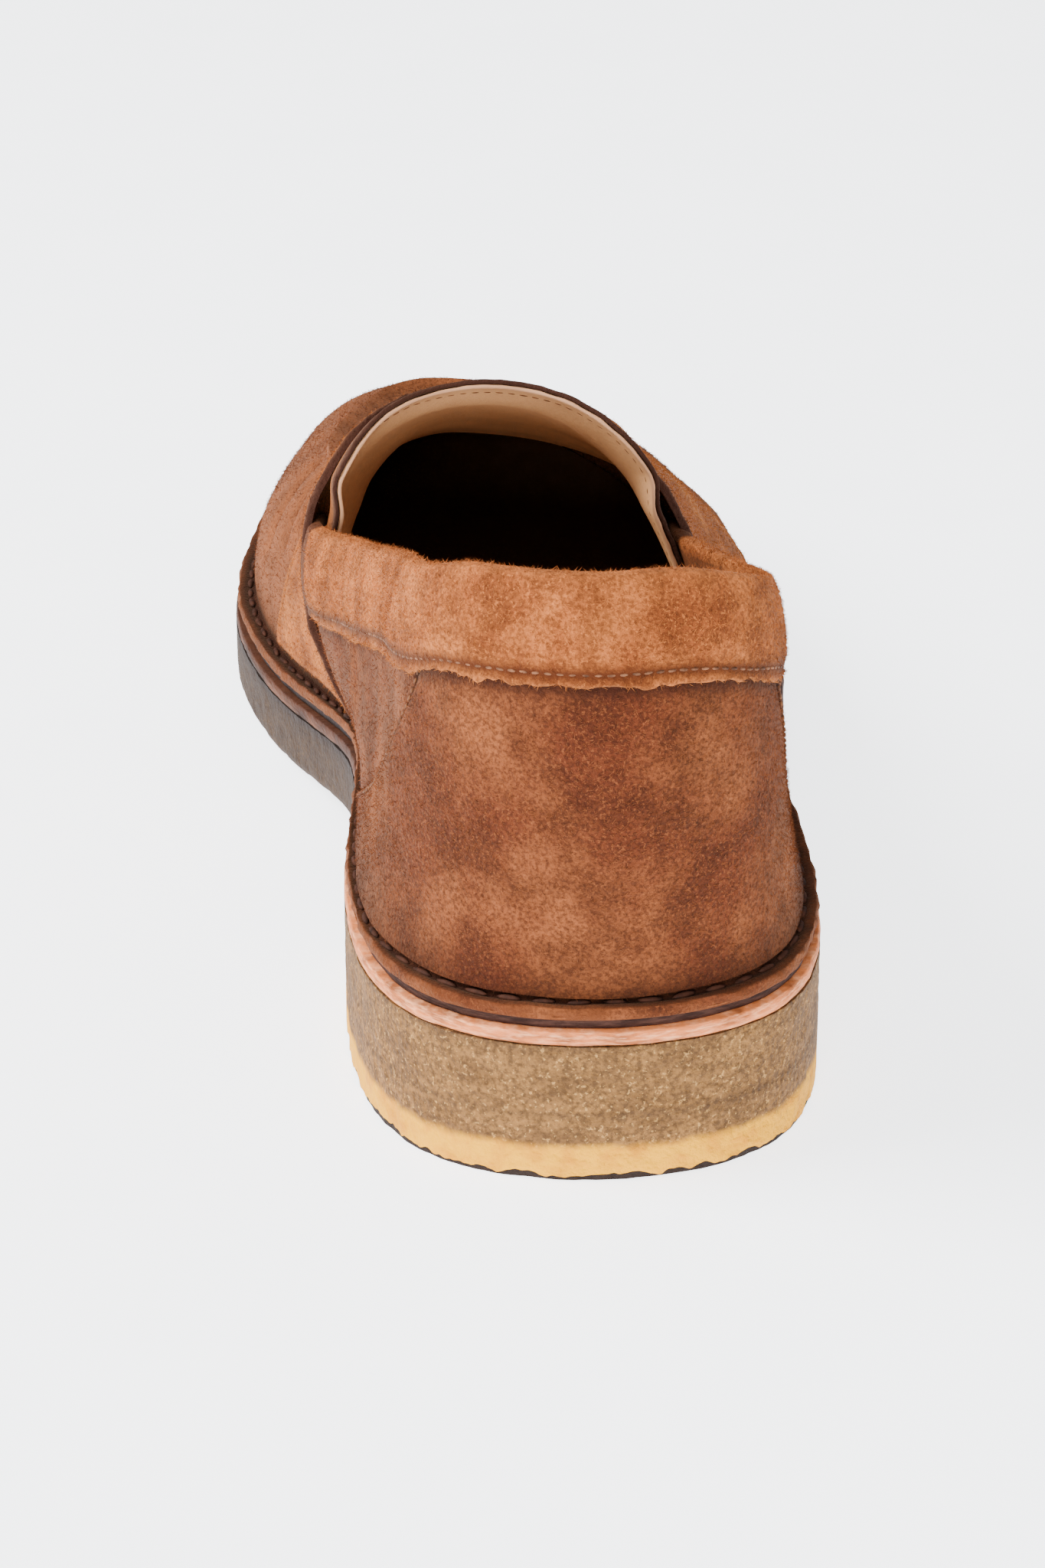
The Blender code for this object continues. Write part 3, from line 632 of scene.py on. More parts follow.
    def topline_share(self, station: Array) -> Array:
        """The share of a spoke at which the topline crosses it.

        Args:
            station: Stations.

        Returns:
            The shares.
        """
        station = np.asarray(station, float)
        low = np.full(station.shape, 0.02)
        high = np.full(station.shape, 0.98)
        ground = float(underside(np.zeros(1))[0]) + FLANGE_TOP
        for _ in range(30):
            middle = (low + high) / 2
            point = self.point(station, middle)
            along = point[..., 1] / SHOE_LENGTH
            line = ground + np.where(station >= 0, self.topline[1](along), self.topline[-1](along))
            under = point[..., 2] < line
            low = np.where(under, middle, low)
            high = np.where(under, high, middle)
        return low

    def top_share(self, station: Array) -> Array:
        """How far up a spoke the upper goes: to the topline, round the throat, or to the spine.

        Args:
            station: Stations.

        Returns:
            The shares.
        """
        at = np.abs(station)
        side = np.where(station >= 0, 1.0, -1.0)
        corner = self.topline_share(side * self.throat_side)
        turn = np.clip((at - self.throat_side) / (self.throat_end - self.throat_side), 0, 1)
        throat = corner + (1 - corner) * (1 - np.sqrt(1 - turn * turn))
        return np.where(at <= self.throat_side, self.topline_share(station), throat)

    def collar_point(self, station: Array, out: Array, down: Array) -> Array:
        """Points near the topline: along the wall below the top edge, straight up above it.

        Args:
            station: Stations.
            out: Distance outside the wall.
            down: Distance below the top edge, negative above it.

        Returns:
            The points.
        """
        top = self.topline_share(station)
        edge = self.point(station, top)
        rise = edge - self.point(station, top - 0.02)
        rise = rise / np.linalg.norm(rise, axis=-1, keepdims=True)
        above = edge + self.normal(station, top) * out[..., None] - rise * down[..., None]
        below = self.skin(station, self.share_below(station, top, np.maximum(down, 0.0)), out)
        return np.where(down[..., None] > 0, below, above)


LAST = Last()


# Node graphs and finishes

Socket = bpy.types.NodeSocket


def linear(code: str) -> tuple[float, float, float, float]:
    """A linear colour from a web colour.

    Args:
        code: Six hex digits.

    Returns:
        Linear red, green, blue and an alpha of 1.
    """
    made = []
    for k in (0, 2, 4):
        value = int(code[k : k + 2], 16) / 255
        made.append(value / 12.92 if value <= 0.04045 else ((value + 0.055) / 1.055) ** 2.4)
    return made[0], made[1], made[2], 1.0


@dataclass(frozen=True)
class Noise:
    """Noise in the object's own metres: size of a lump, detail, and how much finer along each axis."""

    size: float
    detail: float = 3.0
    stretch: tuple[float, float, float] = (1, 1, 1)


@dataclass(frozen=True)
class Coat:
    """A web colour over the ones before it, where a noise or a stored value is high."""

    tone: str
    where: Noise | str
    low: float = 0.0
    high: float = 1.0
    strength: float = 1.0


@dataclass(frozen=True)
class Relief:
    """Unevenness of a finish: its depth in metres, a fine noise, and a share of a coarser one."""

    depth: float
    fine: Noise
    coarse: Noise | None = None
    share: float = 0.0


class Graph:
    """Adds nodes with their settings and links to one node tree."""

    def __init__(self, tree: bpy.types.NodeTree) -> None:
        """Holds the tree, which is of the shader or the geometry kind."""
        self.tree = tree

    def add(self, kind: str, settings: dict | None = None, inputs: dict | None = None) -> bpy.types.Node:
        """Adds one node.

        Args:
            kind: Its type.
            settings: Its properties.
            inputs: Its inputs by name or number: a socket to link, or a plain value.

        Returns:
            The node.
        """
        node = self.tree.nodes.new(kind)
        for name, value in (settings or {}).items():
            setattr(node, name, value)
        for name, value in (inputs or {}).items():
            socket = node.inputs[name]
            if isinstance(value, Socket):
                self.tree.links.new(value, socket)
            else:
                socket.default_value = value
        return node

    def math(self, operation: str, *values: Socket | float) -> Socket:
        """The result of a sum, product or other calculation."""
        return self.add("ShaderNodeMath", {"operation": operation}, dict(enumerate(values))).outputs[0]

    def noise(self, noise: Noise) -> Socket:
        """Adds noise.

        Args:
            noise: Its sizes.

        Returns:
            A value around 0.5.
        """
        place = self.add("ShaderNodeTexCoord").outputs["Object"]
        mapping = self.add("ShaderNodeMapping", None, {"Vector": place, "Scale": noise.stretch})
        inputs = {"Vector": mapping.outputs[0], "Scale": 1 / noise.size, "Detail": noise.detail}
        return self.add("ShaderNodeTexNoise", None, {**inputs, "Roughness": 0.6}).outputs["Fac"]

    def spread(self, value: Socket, low: float, high: float) -> Socket:
        """Stretches the part of a value between low and high to 0 to 1."""
        inputs = {"Value": value, "From Min": low, "From Max": high}
        return self.add("ShaderNodeMapRange", {"interpolation_type": "SMOOTHSTEP"}, inputs).outputs["Result"]

    def attribute(self, name: str) -> Socket:
        """A value stored at the mesh's points."""
        return self.add("ShaderNodeAttribute", {"attribute_name": name}).outputs["Fac"]

    def mix(self, factor: Socket | float, first: Socket | tuple, second: Socket | tuple) -> Socket:
        """A mix of two colours, the second by the factor."""
        return self.add("ShaderNodeMix", {"data_type": "RGBA"}, {0: factor, 6: first, 7: second}).outputs[2]

    def paint(self, base: str, coats: Sequence[Coat]) -> Socket:
        """Lays coats of colour over a base.

        Args:
            base: The base's web colour.
            coats: The coats, from the lowest up.

        Returns:
            The colour.
        """
        colour = linear(base)
        for coat in coats:
            if isinstance(coat.where, Noise):
                factor = self.spread(self.noise(coat.where), coat.low, coat.high)
            else:
                factor = self.attribute(coat.where)
            colour = self.mix(self.math("MULTIPLY", factor, coat.strength), colour, linear(coat.tone))
        return colour

    def random(self, low: float | Socket, high: float | Socket, seed: int | Socket) -> Socket:
        """A random number between low and high for each point."""
        node = self.add("FunctionNodeRandomValue", {"data_type": "FLOAT"}, {2: low, 3: high, "Seed": seed})
        return node.outputs[1]

    def turn(self, rotation: Socket, axis: str, angle: Socket) -> Socket:
        """Turns a rotation further about one of its own axes.

        Args:
            rotation: The rotation.
            axis: X, Y or Z.
            angle: The angle.

        Returns:
            The new rotation.
        """
        euler = self.add("ShaderNodeCombineXYZ", None, {axis: angle}).outputs[0]
        inputs = {"Rotation": rotation, "Rotate By": euler}
        return self.add("FunctionNodeRotateRotation", {"rotation_space": "LOCAL"}, inputs).outputs[0]


class Finish:
    """A material, built on first use."""

    name: str
    roughness = 0.7
    specular = 0.12
    relief = Relief(0.0001, Noise(0.0008))

    def coats(self) -> tuple[str, tuple[Coat, ...]]:
        """The base's web colour, and the coats over it from the lowest up."""
        raise NotImplementedError

    def colour(self, graph: Graph) -> Socket:
        """The painted colour."""
        return graph.paint(*self.coats())

    def inputs(self) -> dict:
        """Plain values of the shader's inputs."""
        return {"Roughness": self.roughness, "Specular IOR Level": self.specular}

    def material(self) -> bpy.types.Material:
        """The finished material.

        Returns:
            The material, the same one each time.
        """
        made = bpy.data.materials.get(self.name)
        if made is not None:
            return made
        made = bpy.data.materials.new(self.name)
        made.use_nodes = True
        graph = Graph(made.node_tree)
        shader = made.node_tree.nodes["Principled BSDF"]
        made.node_tree.links.new(self.colour(graph), shader.inputs["Base Color"])
        height = graph.noise(self.relief.fine)
        if self.relief.coarse:
            coarse = graph.math("MULTIPLY", graph.noise(self.relief.coarse), self.relief.share)
            height = graph.math("ADD", height, coarse)
        raised = {"Height": height, "Distance": self.relief.depth, "Strength": 1.0}
        normal = graph.add("ShaderNodeBump", None, raised).outputs[0]
        made.node_tree.links.new(normal, shader.inputs["Normal"])
        for name, value in self.inputs().items():
            shader.inputs[name].default_value = value
        return made


@dataclass(frozen=True)
class Suede(Finish):
    """Napped split leather: soft blotches where the nap lies differently, over a fine speckle."""

    name: str
    light: str
    middle: str
    dark: str
    edge: str
    blotch: float = 0.022
    roughness = 0.95
    relief = Relief(0.00045, Noise(0.0007), Noise(0.004), 0.8)

    def coats(self) -> tuple[str, tuple[Coat, ...]]:
        """Blotches, patches, grain and flecks, then the lighter places, brushed-up nap and painted light, the
        darker ones, dirt and painted shade, and the cut edge.

        Returns:
            The base's web colour and the coats.
        """
        return self.middle, (
            Coat(self.light, Noise(self.blotch), 0.36, 0.68),
            Coat(self.light, "lift"),
            Coat(self.dark, Noise(self.blotch * 0.4, 4.0), 0.42, 0.64, 0.50),
            Coat(self.dark, Noise(0.0006), 0.40, 0.62, 0.55),
            Coat(self.light, Noise(0.0005), 0.54, 0.68, 0.55),
            Coat(self.light, "lift", strength=0.4),
            Coat(self.dark, "shade"),
            Coat(self.edge, "edge"),
        )

    def inputs(self) -> dict:
        """A faint sheen on the nap."""
        sheen = {"Sheen Weight": 0.08, "Sheen Roughness": 0.5, "Sheen Tint": linear("E8B98A")}
        return super().inputs() | sheen


class Crepe(Finish):
    """Natural crepe rubber: grimy and flecked on its sides, clean yellow where it was just cut."""

    name = "crepe_rubber"
    roughness = 0.8
    specular = 0.25
    relief = Relief(0.00060, Noise(0.0010), Noise(0.0026, 2.0), 0.7)

    def coats(self) -> tuple[str, tuple[Coat, ...]]:
        """Grime, speckle and flecks of its sides.

        Returns:
            The base's web colour and the coats.
        """
        return "875E2F", (
            Coat("684723", Noise(0.009, 4.0, (1, 1, 2.2)), 0.35, 0.68),
            Coat("3F2911", Noise(0.0008), 0.36, 0.66, 0.75),
            Coat("BE9153", Noise(0.0007, 2.0), 0.58, 0.70, 0.55),
        )

    def colour(self, graph: Graph) -> Socket:
        """Puts the cut rubber's yellow over the sides, with a wavering edge between them.

        Args:
            graph: The material's graph.

        Returns:
            The colour.
        """
        clean = graph.paint("DE9C00", [Coat("C88200", Noise(0.004), 0.4, 0.7)])
        wobble = graph.math("MULTIPLY", graph.math("SUBTRACT", graph.noise(Noise(0.006)), 0.5), 0.5)
        cut = graph.spread(graph.math("ADD", graph.attribute("clean"), wobble), 0.30, 0.80)
        side = graph.mix(cut, super().colour(graph), clean)
        return graph.mix(graph.attribute("shade"), side, linear("22150E"))


@dataclass(frozen=True)
class Leather(Finish):
    """Smooth leather in two near tones, darkened where shaded."""

    name: str
    light: str
    dark: str
    grain: float
    roughness: float

    @property
    def relief(self) -> Relief:
        """Its grain."""
        return Relief(0.00012, Noise(self.grain))

    def coats(self) -> tuple[str, tuple[Coat, ...]]:
        """Clouds and speckle, then the dark places and the pale cut edge.

        Returns:
            The base's web colour and the coats.
        """
        return self.light, (
            Coat(self.dark, Noise(0.012, 4.0), 0.40, 0.72, 0.35),
            Coat(self.dark, Noise(self.grain), 0.50, 0.78, 0.35),
            Coat(self.dark, "shade"),
            Coat("BE8C68", "edge"),
        )


@dataclass(frozen=True)
class ScuffedEdge(Finish):
    """Cut leather edge, rubbed pale along its ridge and grimy in its hollows."""

    name: str
    light: str
    dark: str
    scuff: str
    relief = Relief(0.00035, Noise(0.0012, 3.0, (0.6, 0.6, 2)))

    def coats(self) -> tuple[str, tuple[Coat, ...]]:
        """Dirt and rubbed places, both stretched along the edge.

        Returns:
            The base's web colour and the coats.
        """
        return self.light, (
            Coat(self.dark, Noise(0.007, 4.0, (1, 1, 3)), 0.42, 0.66, 0.6),
            Coat(self.scuff, Noise(0.0014, 4.0, (0.5, 0.5, 3)), 0.40, 0.72, 0.60),
            Coat(self.dark, "shade"),
        )


@dataclass(frozen=True)
class Thread(Finish):
    """Waxed or plain sewing thread of one colour."""

    name: str
    code: str

    def coats(self) -> tuple[str, tuple[Coat, ...]]:
        """Worn darker in places."""
        return self.code, (Coat("1E100A", Noise(0.002), 0.3, 0.8),)


class Floor(Finish):
    """Pale matt studio floor."""

    name = "studio_floor"
    roughness = 0.9
    specular = 0.5
    glow = 3.0
    relief = Relief(0.00001, Noise(0.01))

    def coats(self) -> tuple[str, tuple[Coat, ...]]:
        """Faint clouds."""
        return "F3F4F6", (Coat("EDEFF2", Noise(0.05), 0.3, 0.7),)

    def inputs(self) -> dict:
        """Its glow, which keeps the floor's shadow as pale as the photograph's."""
        return super().inputs() | {"Emission Color": linear("F7F9FC"), "Emission Strength": self.glow}


class Looks(Enum):
    """The finishes of the shoe."""

    # Mid brown suede of the vamp, quarters and counter
    SUEDE = Suede("brown_suede", "844A29", "5B2B17", "280F07", "5C3018")
    # The saddle and tongue, whose cut edges are dark
    SADDLE_SUEDE = Suede("saddle_suede", "B56A30", "87451E", "4A2210", "3A2118")
    # Lighter, rougher suede of the rolled collar
    COLLAR_SUEDE = Suede("rough_collar_suede", "BE6F38", "844420", "421C09", "B0713F", 0.016)
    # Natural crepe rubber of heel and outsole
    CREPE = Crepe()
    # Vegetable tanned midsole edge, pinkish and scuffed
    MIDSOLE = ScuffedEdge("tan_midsole_leather", "CE7440", "30190F", "FAB080")
    # Dyed rand edge
    RAND = ScuffedEdge("dyed_rand_leather", "2C1812", "1C0E0A", "50342A")
    # Insole and footbed, worn dark in front; its tan is painted paler to stand in for light inside the shoe
    INSOLE = Leather("worn_insole_leather", "BE9870", "94704E", 0.0010, 0.65)
    # Tan lining of the tongue
    LINING = Leather("tan_lining_leather", "E0A672", "B88258", 0.0007, 0.5)
    # Waxed brown thread of the stitchdown
    DARK_THREAD = Thread("waxed_brown_thread", "46281C")
    # Light brown thread of the collar
    PALE_THREAD = Thread("light_brown_thread", "80543A")
    # Brown thread of the counter and the lining
    LINING_THREAD = Thread("brown_thread", "754A2E")


# Meshes

Values = dict[str, Array]


def quads(rows: int, columns: int, start: int = 0) -> Array:
    """Faces of a grid of points.

    Args:
        rows: Rows of the grid.
        columns: Columns of the grid.
        start: Number of its first point.

    Returns:
        Four point numbers for each face.
    """
    index = np.arange(rows * columns).reshape(rows, columns) + start
    corners = (index[:-1, :-1], index[:-1, 1:], index[1:, 1:], index[1:, :-1])
    return np.stack([c.ravel() for c in corners], -1)


def strip(first: Array, second: Array) -> Array:
    """Faces between two rows of point numbers."""
    return np.stack([first[:-1], first[1:], second[1:], second[:-1]], -1)


def linked(name: str, data: bpy.types.ID) -> bpy.types.Object:
    """A new object of the scene.

    Args:
        name: Its name.
        data: Its mesh, light or camera.

    Returns:
        The object.
    """
    made = bpy.data.objects.new(name, data)
    bpy.context.scene.collection.objects.link(made)
    return made


def mesh_object(name: str, points: Array, faces: Array, values: Values) -> bpy.types.Object:
    """A smooth mesh object with values stored at its points.

    Args:
        name: Its name.
        points: Its points, before the shoe is moved to the origin.
        faces: Its faces.
        values: Named values, one for each point.

    Returns:
        The object.
    """
    data = bpy.data.meshes.new(name)
    data.from_pydata((points - SHIFT).tolist(), [], faces.tolist())
    for key, value in values.items():
        data.attributes.new(key, "FLOAT", "POINT").data.foreach_set("value", value.astype(np.float32).ravel())
    mesh = bmesh.new()
    mesh.from_mesh(data)
    bmesh.ops.remove_doubles(mesh, verts=mesh.verts, dist=2e-6)
    bmesh.ops.dissolve_degenerate(mesh, edges=mesh.edges, dist=1e-6)
    bmesh.ops.recalc_face_normals(mesh, faces=mesh.faces)
    mesh.to_mesh(data)
    mesh.free()
    data.shade_smooth()
    data.set_sharp_from_angle(angle=math.radians(50))
    return linked(name, data)


def shell(name: str, outer: Array, inner: Array, values: Values) -> bpy.types.Object:
    """A closed solid between two grids, with a rim round their four edges.

    Args:
        name: Its name.
        outer: Points of the outer grid, by row and column.
        inner: Points of the inner grid.
        values: Named values at the outer grid's points, used for both.

    Returns:
        The object.
    """
    rows, columns = outer.shape[:2]
    count = rows * columns
    front = np.arange(count).reshape(rows, columns)
    back = front + count
    faces = [quads(rows, columns), quads(rows, columns, count)]
    for edge in (np.s_[0, :], np.s_[-1, :], np.s_[:, 0], np.s_[:, -1]):
        faces.append(strip(front[edge], back[edge]))
    points = np.concatenate([outer.reshape(-1, 3), inner.reshape(-1, 3)])
    hidden = {key: value * (key != "nap") for key, value in values.items()}
    both = {key: np.concatenate([value.ravel(), hidden[key].ravel()]) for key, value in values.items()}
    return mesh_object(name, points, np.concatenate(faces), both)


def rounded(distance: Array, radius: float) -> Array:
    """Profile of a cut edge that is slightly rounded over."""
    t = 1 - np.clip(distance / radius, 0, 1)
    return 0.45 + 0.55 * np.sqrt(1 - t * t)


@dataclass
class Piece:
    """A visible piece that stands for one part of the CAD model."""

    node: str = ""
    slot: str = "suede"
    look: Looks = Looks.SUEDE

    def build(self) -> bpy.types.Object:
        """Builds the mesh."""
        raise NotImplementedError

    def place(self) -> bpy.types.Object:
        """Builds the piece and hands it to the frame.

        Returns:
            The finished object.
        """
        made = self.build()
        made.data.materials.append(self.look.value.material())
        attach(made, "root")
        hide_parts(self.node)
        LOG.info("%s: %d faces", self.node, len(made.data.polygons))
        return made


# Sole

class Level(NamedTuple):
    """One level of a sole layer's side wall: how far in from the outline, and its height there."""

    inset: Profile
    height: Profile


@dataclass
class SoleLayer(Piece):
    """A layer of the sole: a side wall between levels, closed above and below."""

    stations: int = 300
    end_along: float = 0.0
    rough: float = 0.00012
    lump: float = 0.006

    def levels(self) -> list[Level]:
        """The wall's levels from the top down."""
        raise NotImplementedError

    def values(self, points: Array, depth: Array) -> Values:
        """Values stored at the wall's points."""
        raise NotImplementedError

    def build(self) -> bpy.types.Object:
        """Builds the mesh.

        Returns:
            The object.
        """
        rows = []
        for level in self.levels():
            curve = PlanCurve(level.inset)
            last = float(curve.station_at(self.end_along * SHOE_LENGTH)) if self.end_along else 1.0
            station = np.linspace(-last, last, 2 * self.stations + 1)
            plan, out = curve.at(station)
            rows.append(np.concatenate([plan, level.height(plan[:, 1])[:, None], out], -1))
        grid = np.stack(rows)
        points = grid[..., :3]
        wobble = value_noise(points, self.lump, 3) + 0.6 * value_noise(points, self.lump / 3, 5)
        points[..., :2] -= grid[..., 3:] * (np.abs(wobble) * self.rough)[..., None]
        count, wide = points.shape[:2]
        index = np.arange(count * wide).reshape(count, wide)
        half = self.stations
        faces = [quads(count, wide)]
        for row in (index[0], index[-1]):
            faces.append(strip(row[half:], row[half::-1]))
        if self.end_along:
            faces.append(strip(index[:, 0], index[:, -1]))
        depth = np.linspace(0, 1, count)[:, None] * np.ones(wide)
        values = self.values(points, depth)
        return mesh_object(self.node, points.reshape(-1, 3), np.concatenate(faces), values)


def steady(inset: float) -> Profile:
    """The same inset all round."""
    return lambda share: np.full_like(share, inset)


@dataclass
class HeelLift(SoleLayer):
    """Crepe lift under the heel, with a ragged freshly cut lower edge."""

    node: str = "heel_lift"
    slot: str = "crepe"
    look: Looks = Looks.CREPE
    end_along: float = HEEL_BREAST_ALONG
    rough: float = 0.00030
    torn: float = 0.93
    undercut: float = 0.0003
    clean_height: float = 0.0074
    clean_fade: float = 0.0035
    ragged_depth: float = 0.0007

    def levels(self) -> list[Level]:
        """The wall's levels from the top down.

        Returns:
            The levels.
        """
        made = []
        for part in (*np.linspace(0, self.torn, 20), self.torn + 0.01, 0.98, 1.0):
            inset = self.undercut * (part > self.torn)
            height = (HEEL_LIFT_THICKNESS + FIT_GAP) * (1 - part)
            made.append(Level(steady(inset), lambda y, z=height: 0 * y + z))
        return made

    def values(self, points: Array, depth: Array) -> Values:
        """Clean rubber low down, and a lower edge that is ragged.

        Args:
            points: The points.
            depth: 0 at the top and 1 at the bottom; not used.

        Returns:
            The values.
        """
        clean = np.clip((self.clean_height - points[..., 2]) / self.clean_fade, 0, 1)
        flat = points * (1, 1, 0.01)
        ragged = value_noise(flat, 0.0024, 8) + 0.6 * value_noise(flat, 0.0009, 9)
        rows = len(points)
        low = np.clip((np.arange(rows) - rows + 7) / 4, 0, 1) * (np.arange(rows) < rows - 2)
        points[..., 2] = np.maximum(points[..., 2] + low[:, None] * ragged * self.ragged_depth, 0.0)
        # The bottom rows are painted dark: painted shadow in the gap under the worn heel, and dirt.
        shade = (np.arange(rows) >= rows - 3)[:, None] * np.ones(points.shape[1])
        joint = 0.35 * bump(points[..., 2] - HEEL_LIFT_THICKNESS, 0.0006)
        return {"shade": np.maximum(shade, joint), "clean": clean * (1 - shade)}


@dataclass
class Outsole(SoleLayer):
    """Crepe outsole, flat under heel and ball, arched at the waist and sprung at the toe."""

    node: str = "outsole"
    slot: str = "crepe"
    look: Looks = Looks.CREPE
    rough: float = 0.00030
    waist_undercut: float = 0.0012
    clean_height: float = 0.0030
    clean_fade: float = 0.002
    grime_start: float = 0.12
    grime_length: float = 0.16

    def levels(self) -> list[Level]:
        """The wall's levels from the top down.

        Returns:
            The levels.
        """
        made = []
        for part in np.linspace(0, 1, 22):
            low = max(0.0, (part - 0.8) / 0.2) ** 2
            height = OUTSOLE_THICKNESS * (1 - part)
            cut = low * self.waist_undercut
            inset = lambda share, cut=cut: cut * smooth_step((share - HEEL_BREAST_ALONG) / 0.1)
            made.append(Level(inset, lambda y, z=height: underside(y) + z))
        return made

    def values(self, points: Array, depth: Array) -> Values:
        """Grime towards the forefoot, and paler rubber only where the ball meets the floor.

        Args:
            points: The points.
            depth: 0 at the top and 1 at the bottom.

        Returns:
            The values.
        """
        along = points[..., 1] / SHOE_LENGTH
        clean = 0.40 * np.clip((self.clean_height - points[..., 2]) / self.clean_fade, 0, 1)
        joint = 0.30 * bump(depth - 1.0, 0.04) * (along < HEEL_BREAST_ALONG)
        grime = 0.95 * smooth_step((along - self.grime_start) / self.grime_length)
        grime = grime * (0.9 + 0.1 * bump(depth, 0.3))
        return {"shade": np.clip(joint + grime + 0.25 * bump(depth, 0.06), 0, 1), "clean": clean}


@dataclass
class ThinLayer(SoleLayer):
    """A thin leather layer with a slightly rounded edge."""

    inset: float = 0.0
    low: float = 0.0
    high: float = 0.0
    rough: float = 0.00022
    lump: float = 0.008
    edge_bulge: float = 0.0004
    grime_start: float = 0.17
    grime_length: float = 0.10

    def levels(self) -> list[Level]:
        """The wall's levels from the top down.

        Returns:
            The levels.
        """
        made = []
        for turn in np.linspace(0, math.pi, 9):
            bulge = self.edge_bulge * (1 - math.sin(turn))
            height = self.low + (self.high - self.low) * (0.5 + 0.5 * math.cos(turn))
            made.append(Level(steady(self.inset + bulge), lambda y, z=height: underside(y) + z))
        return made

    def values(self, points: Array, depth: Array) -> Values:
        """Darkened by grime from the waist forwards.

        Args:
            points: The points.
            depth: 0 at the top and 1 at the bottom.

        Returns:
            The values.
        """
        along = points[..., 1] / SHOE_LENGTH
        patchy = 0.25 * value_noise(points, 0.006, 14) * bump(depth - 1.0, 0.5)
        grime = 0.95 * smooth_step((along - self.grime_start) / self.grime_length)
        return {"shade": np.clip(grime + patchy + 0.5 * bump(depth - 1.0, 0.12), 0, 1)}


@dataclass
class Midsole(ThinLayer):
    """Pinkish vegetable tanned layer on the crepe."""

    node: str = "midsole"
    slot: str = "midsole_leather"
    look: Looks = Looks.MIDSOLE
    low: float = OUTSOLE_TOP + 0.0001
    high: float = MIDSOLE_TOP


@dataclass
class Rand(ThinLayer):
    """Dark strip under the turned-out suede."""

    node: str = "rand"
    slot: str = "rand_leather"
    look: Looks = Looks.RAND
    inset: float = FLANGE_EDGE_INSET + 0.0007
    low: float = MIDSOLE_TOP + 0.0001
    high: float = RAND_TOP + 0.0002


@dataclass
class Insole(ThinLayer):
    """Leather insole inside the foot of the wall."""

    node: str = "insole"
    slot: str = "insole_leather"
    look: Looks = Looks.INSOLE
    inset: float = FLANGE_WIDTH + UPPER_THICKNESS + 2 * FIT_GAP
    low: float = FLANGE_UNDER
    high: float = FLANGE_UNDER + INSOLE_THICKNESS


# Upper

class Crease(NamedTuple):
    """A soft fold across the vamp: where it crosses the spine, how it sweeps, and its size."""

    along: float
    sweep: float
    side: int
    foot: float
    top: float
    depth: float
    width: float


VAMP_CREASES = (
    Crease(0.600, 0.050, 0, 0.30, 0.98, -0.00110, 0.0030),
    Crease(0.628, 0.060, 0, 0.22, 0.98, 0.00080, 0.0030),
    Crease(0.660, 0.070, 0, 0.18, 0.92, -0.00100, 0.0032),
    Crease(0.705, 0.060, -1, 0.12, 0.62, -0.00090, 0.0026),
    Crease(0.575, 0.020, -1, 0.38, 0.80, -0.00085, 0.0022),
    Crease(0.690, 0.070, 1, 0.10, 0.60, -0.00080, 0.0028),
    Crease(0.262, 0.0, -1, 0.08, 0.50, 0.00090, 0.0016),
    Crease(0.250, 0.060, -1, 0.06, 0.40, -0.00050, 0.0040),
    Crease(0.235, 0.040, 1, 0.06, 0.36, -0.00060, 0.0035),
)


def vamp_relief(station: Array, share: Array, place: Array) -> Array:
    """Height of the vamp's folds and of its hand-lasted unevenness.

    Args:
        station: Stations.
        share: Shares of their spokes.
        place: The points there.

    Returns:
        Distance outside the last surface.
    """
    total = 0.00035 * value_noise(place, 0.020, 1) + 0.00014 * value_noise(place, 0.007, 2)
    along = place[..., 1] / SHOE_LENGTH
    for fold in VAMP_CREASES:
        middle = fold.along - fold.sweep * (1 - share) ** 1.5
        reach = smooth_step((share - fold.foot) / 0.15) * smooth_step((fold.top - share) / 0.12)
        if fold.side:
            reach = reach * (np.sign(station) == fold.side)
        waver = 0.004 * value_noise(place, 0.012, 4)
        total = total + fold.depth * reach * bump((along - middle + waver) * SHOE_LENGTH, fold.width)
    return total


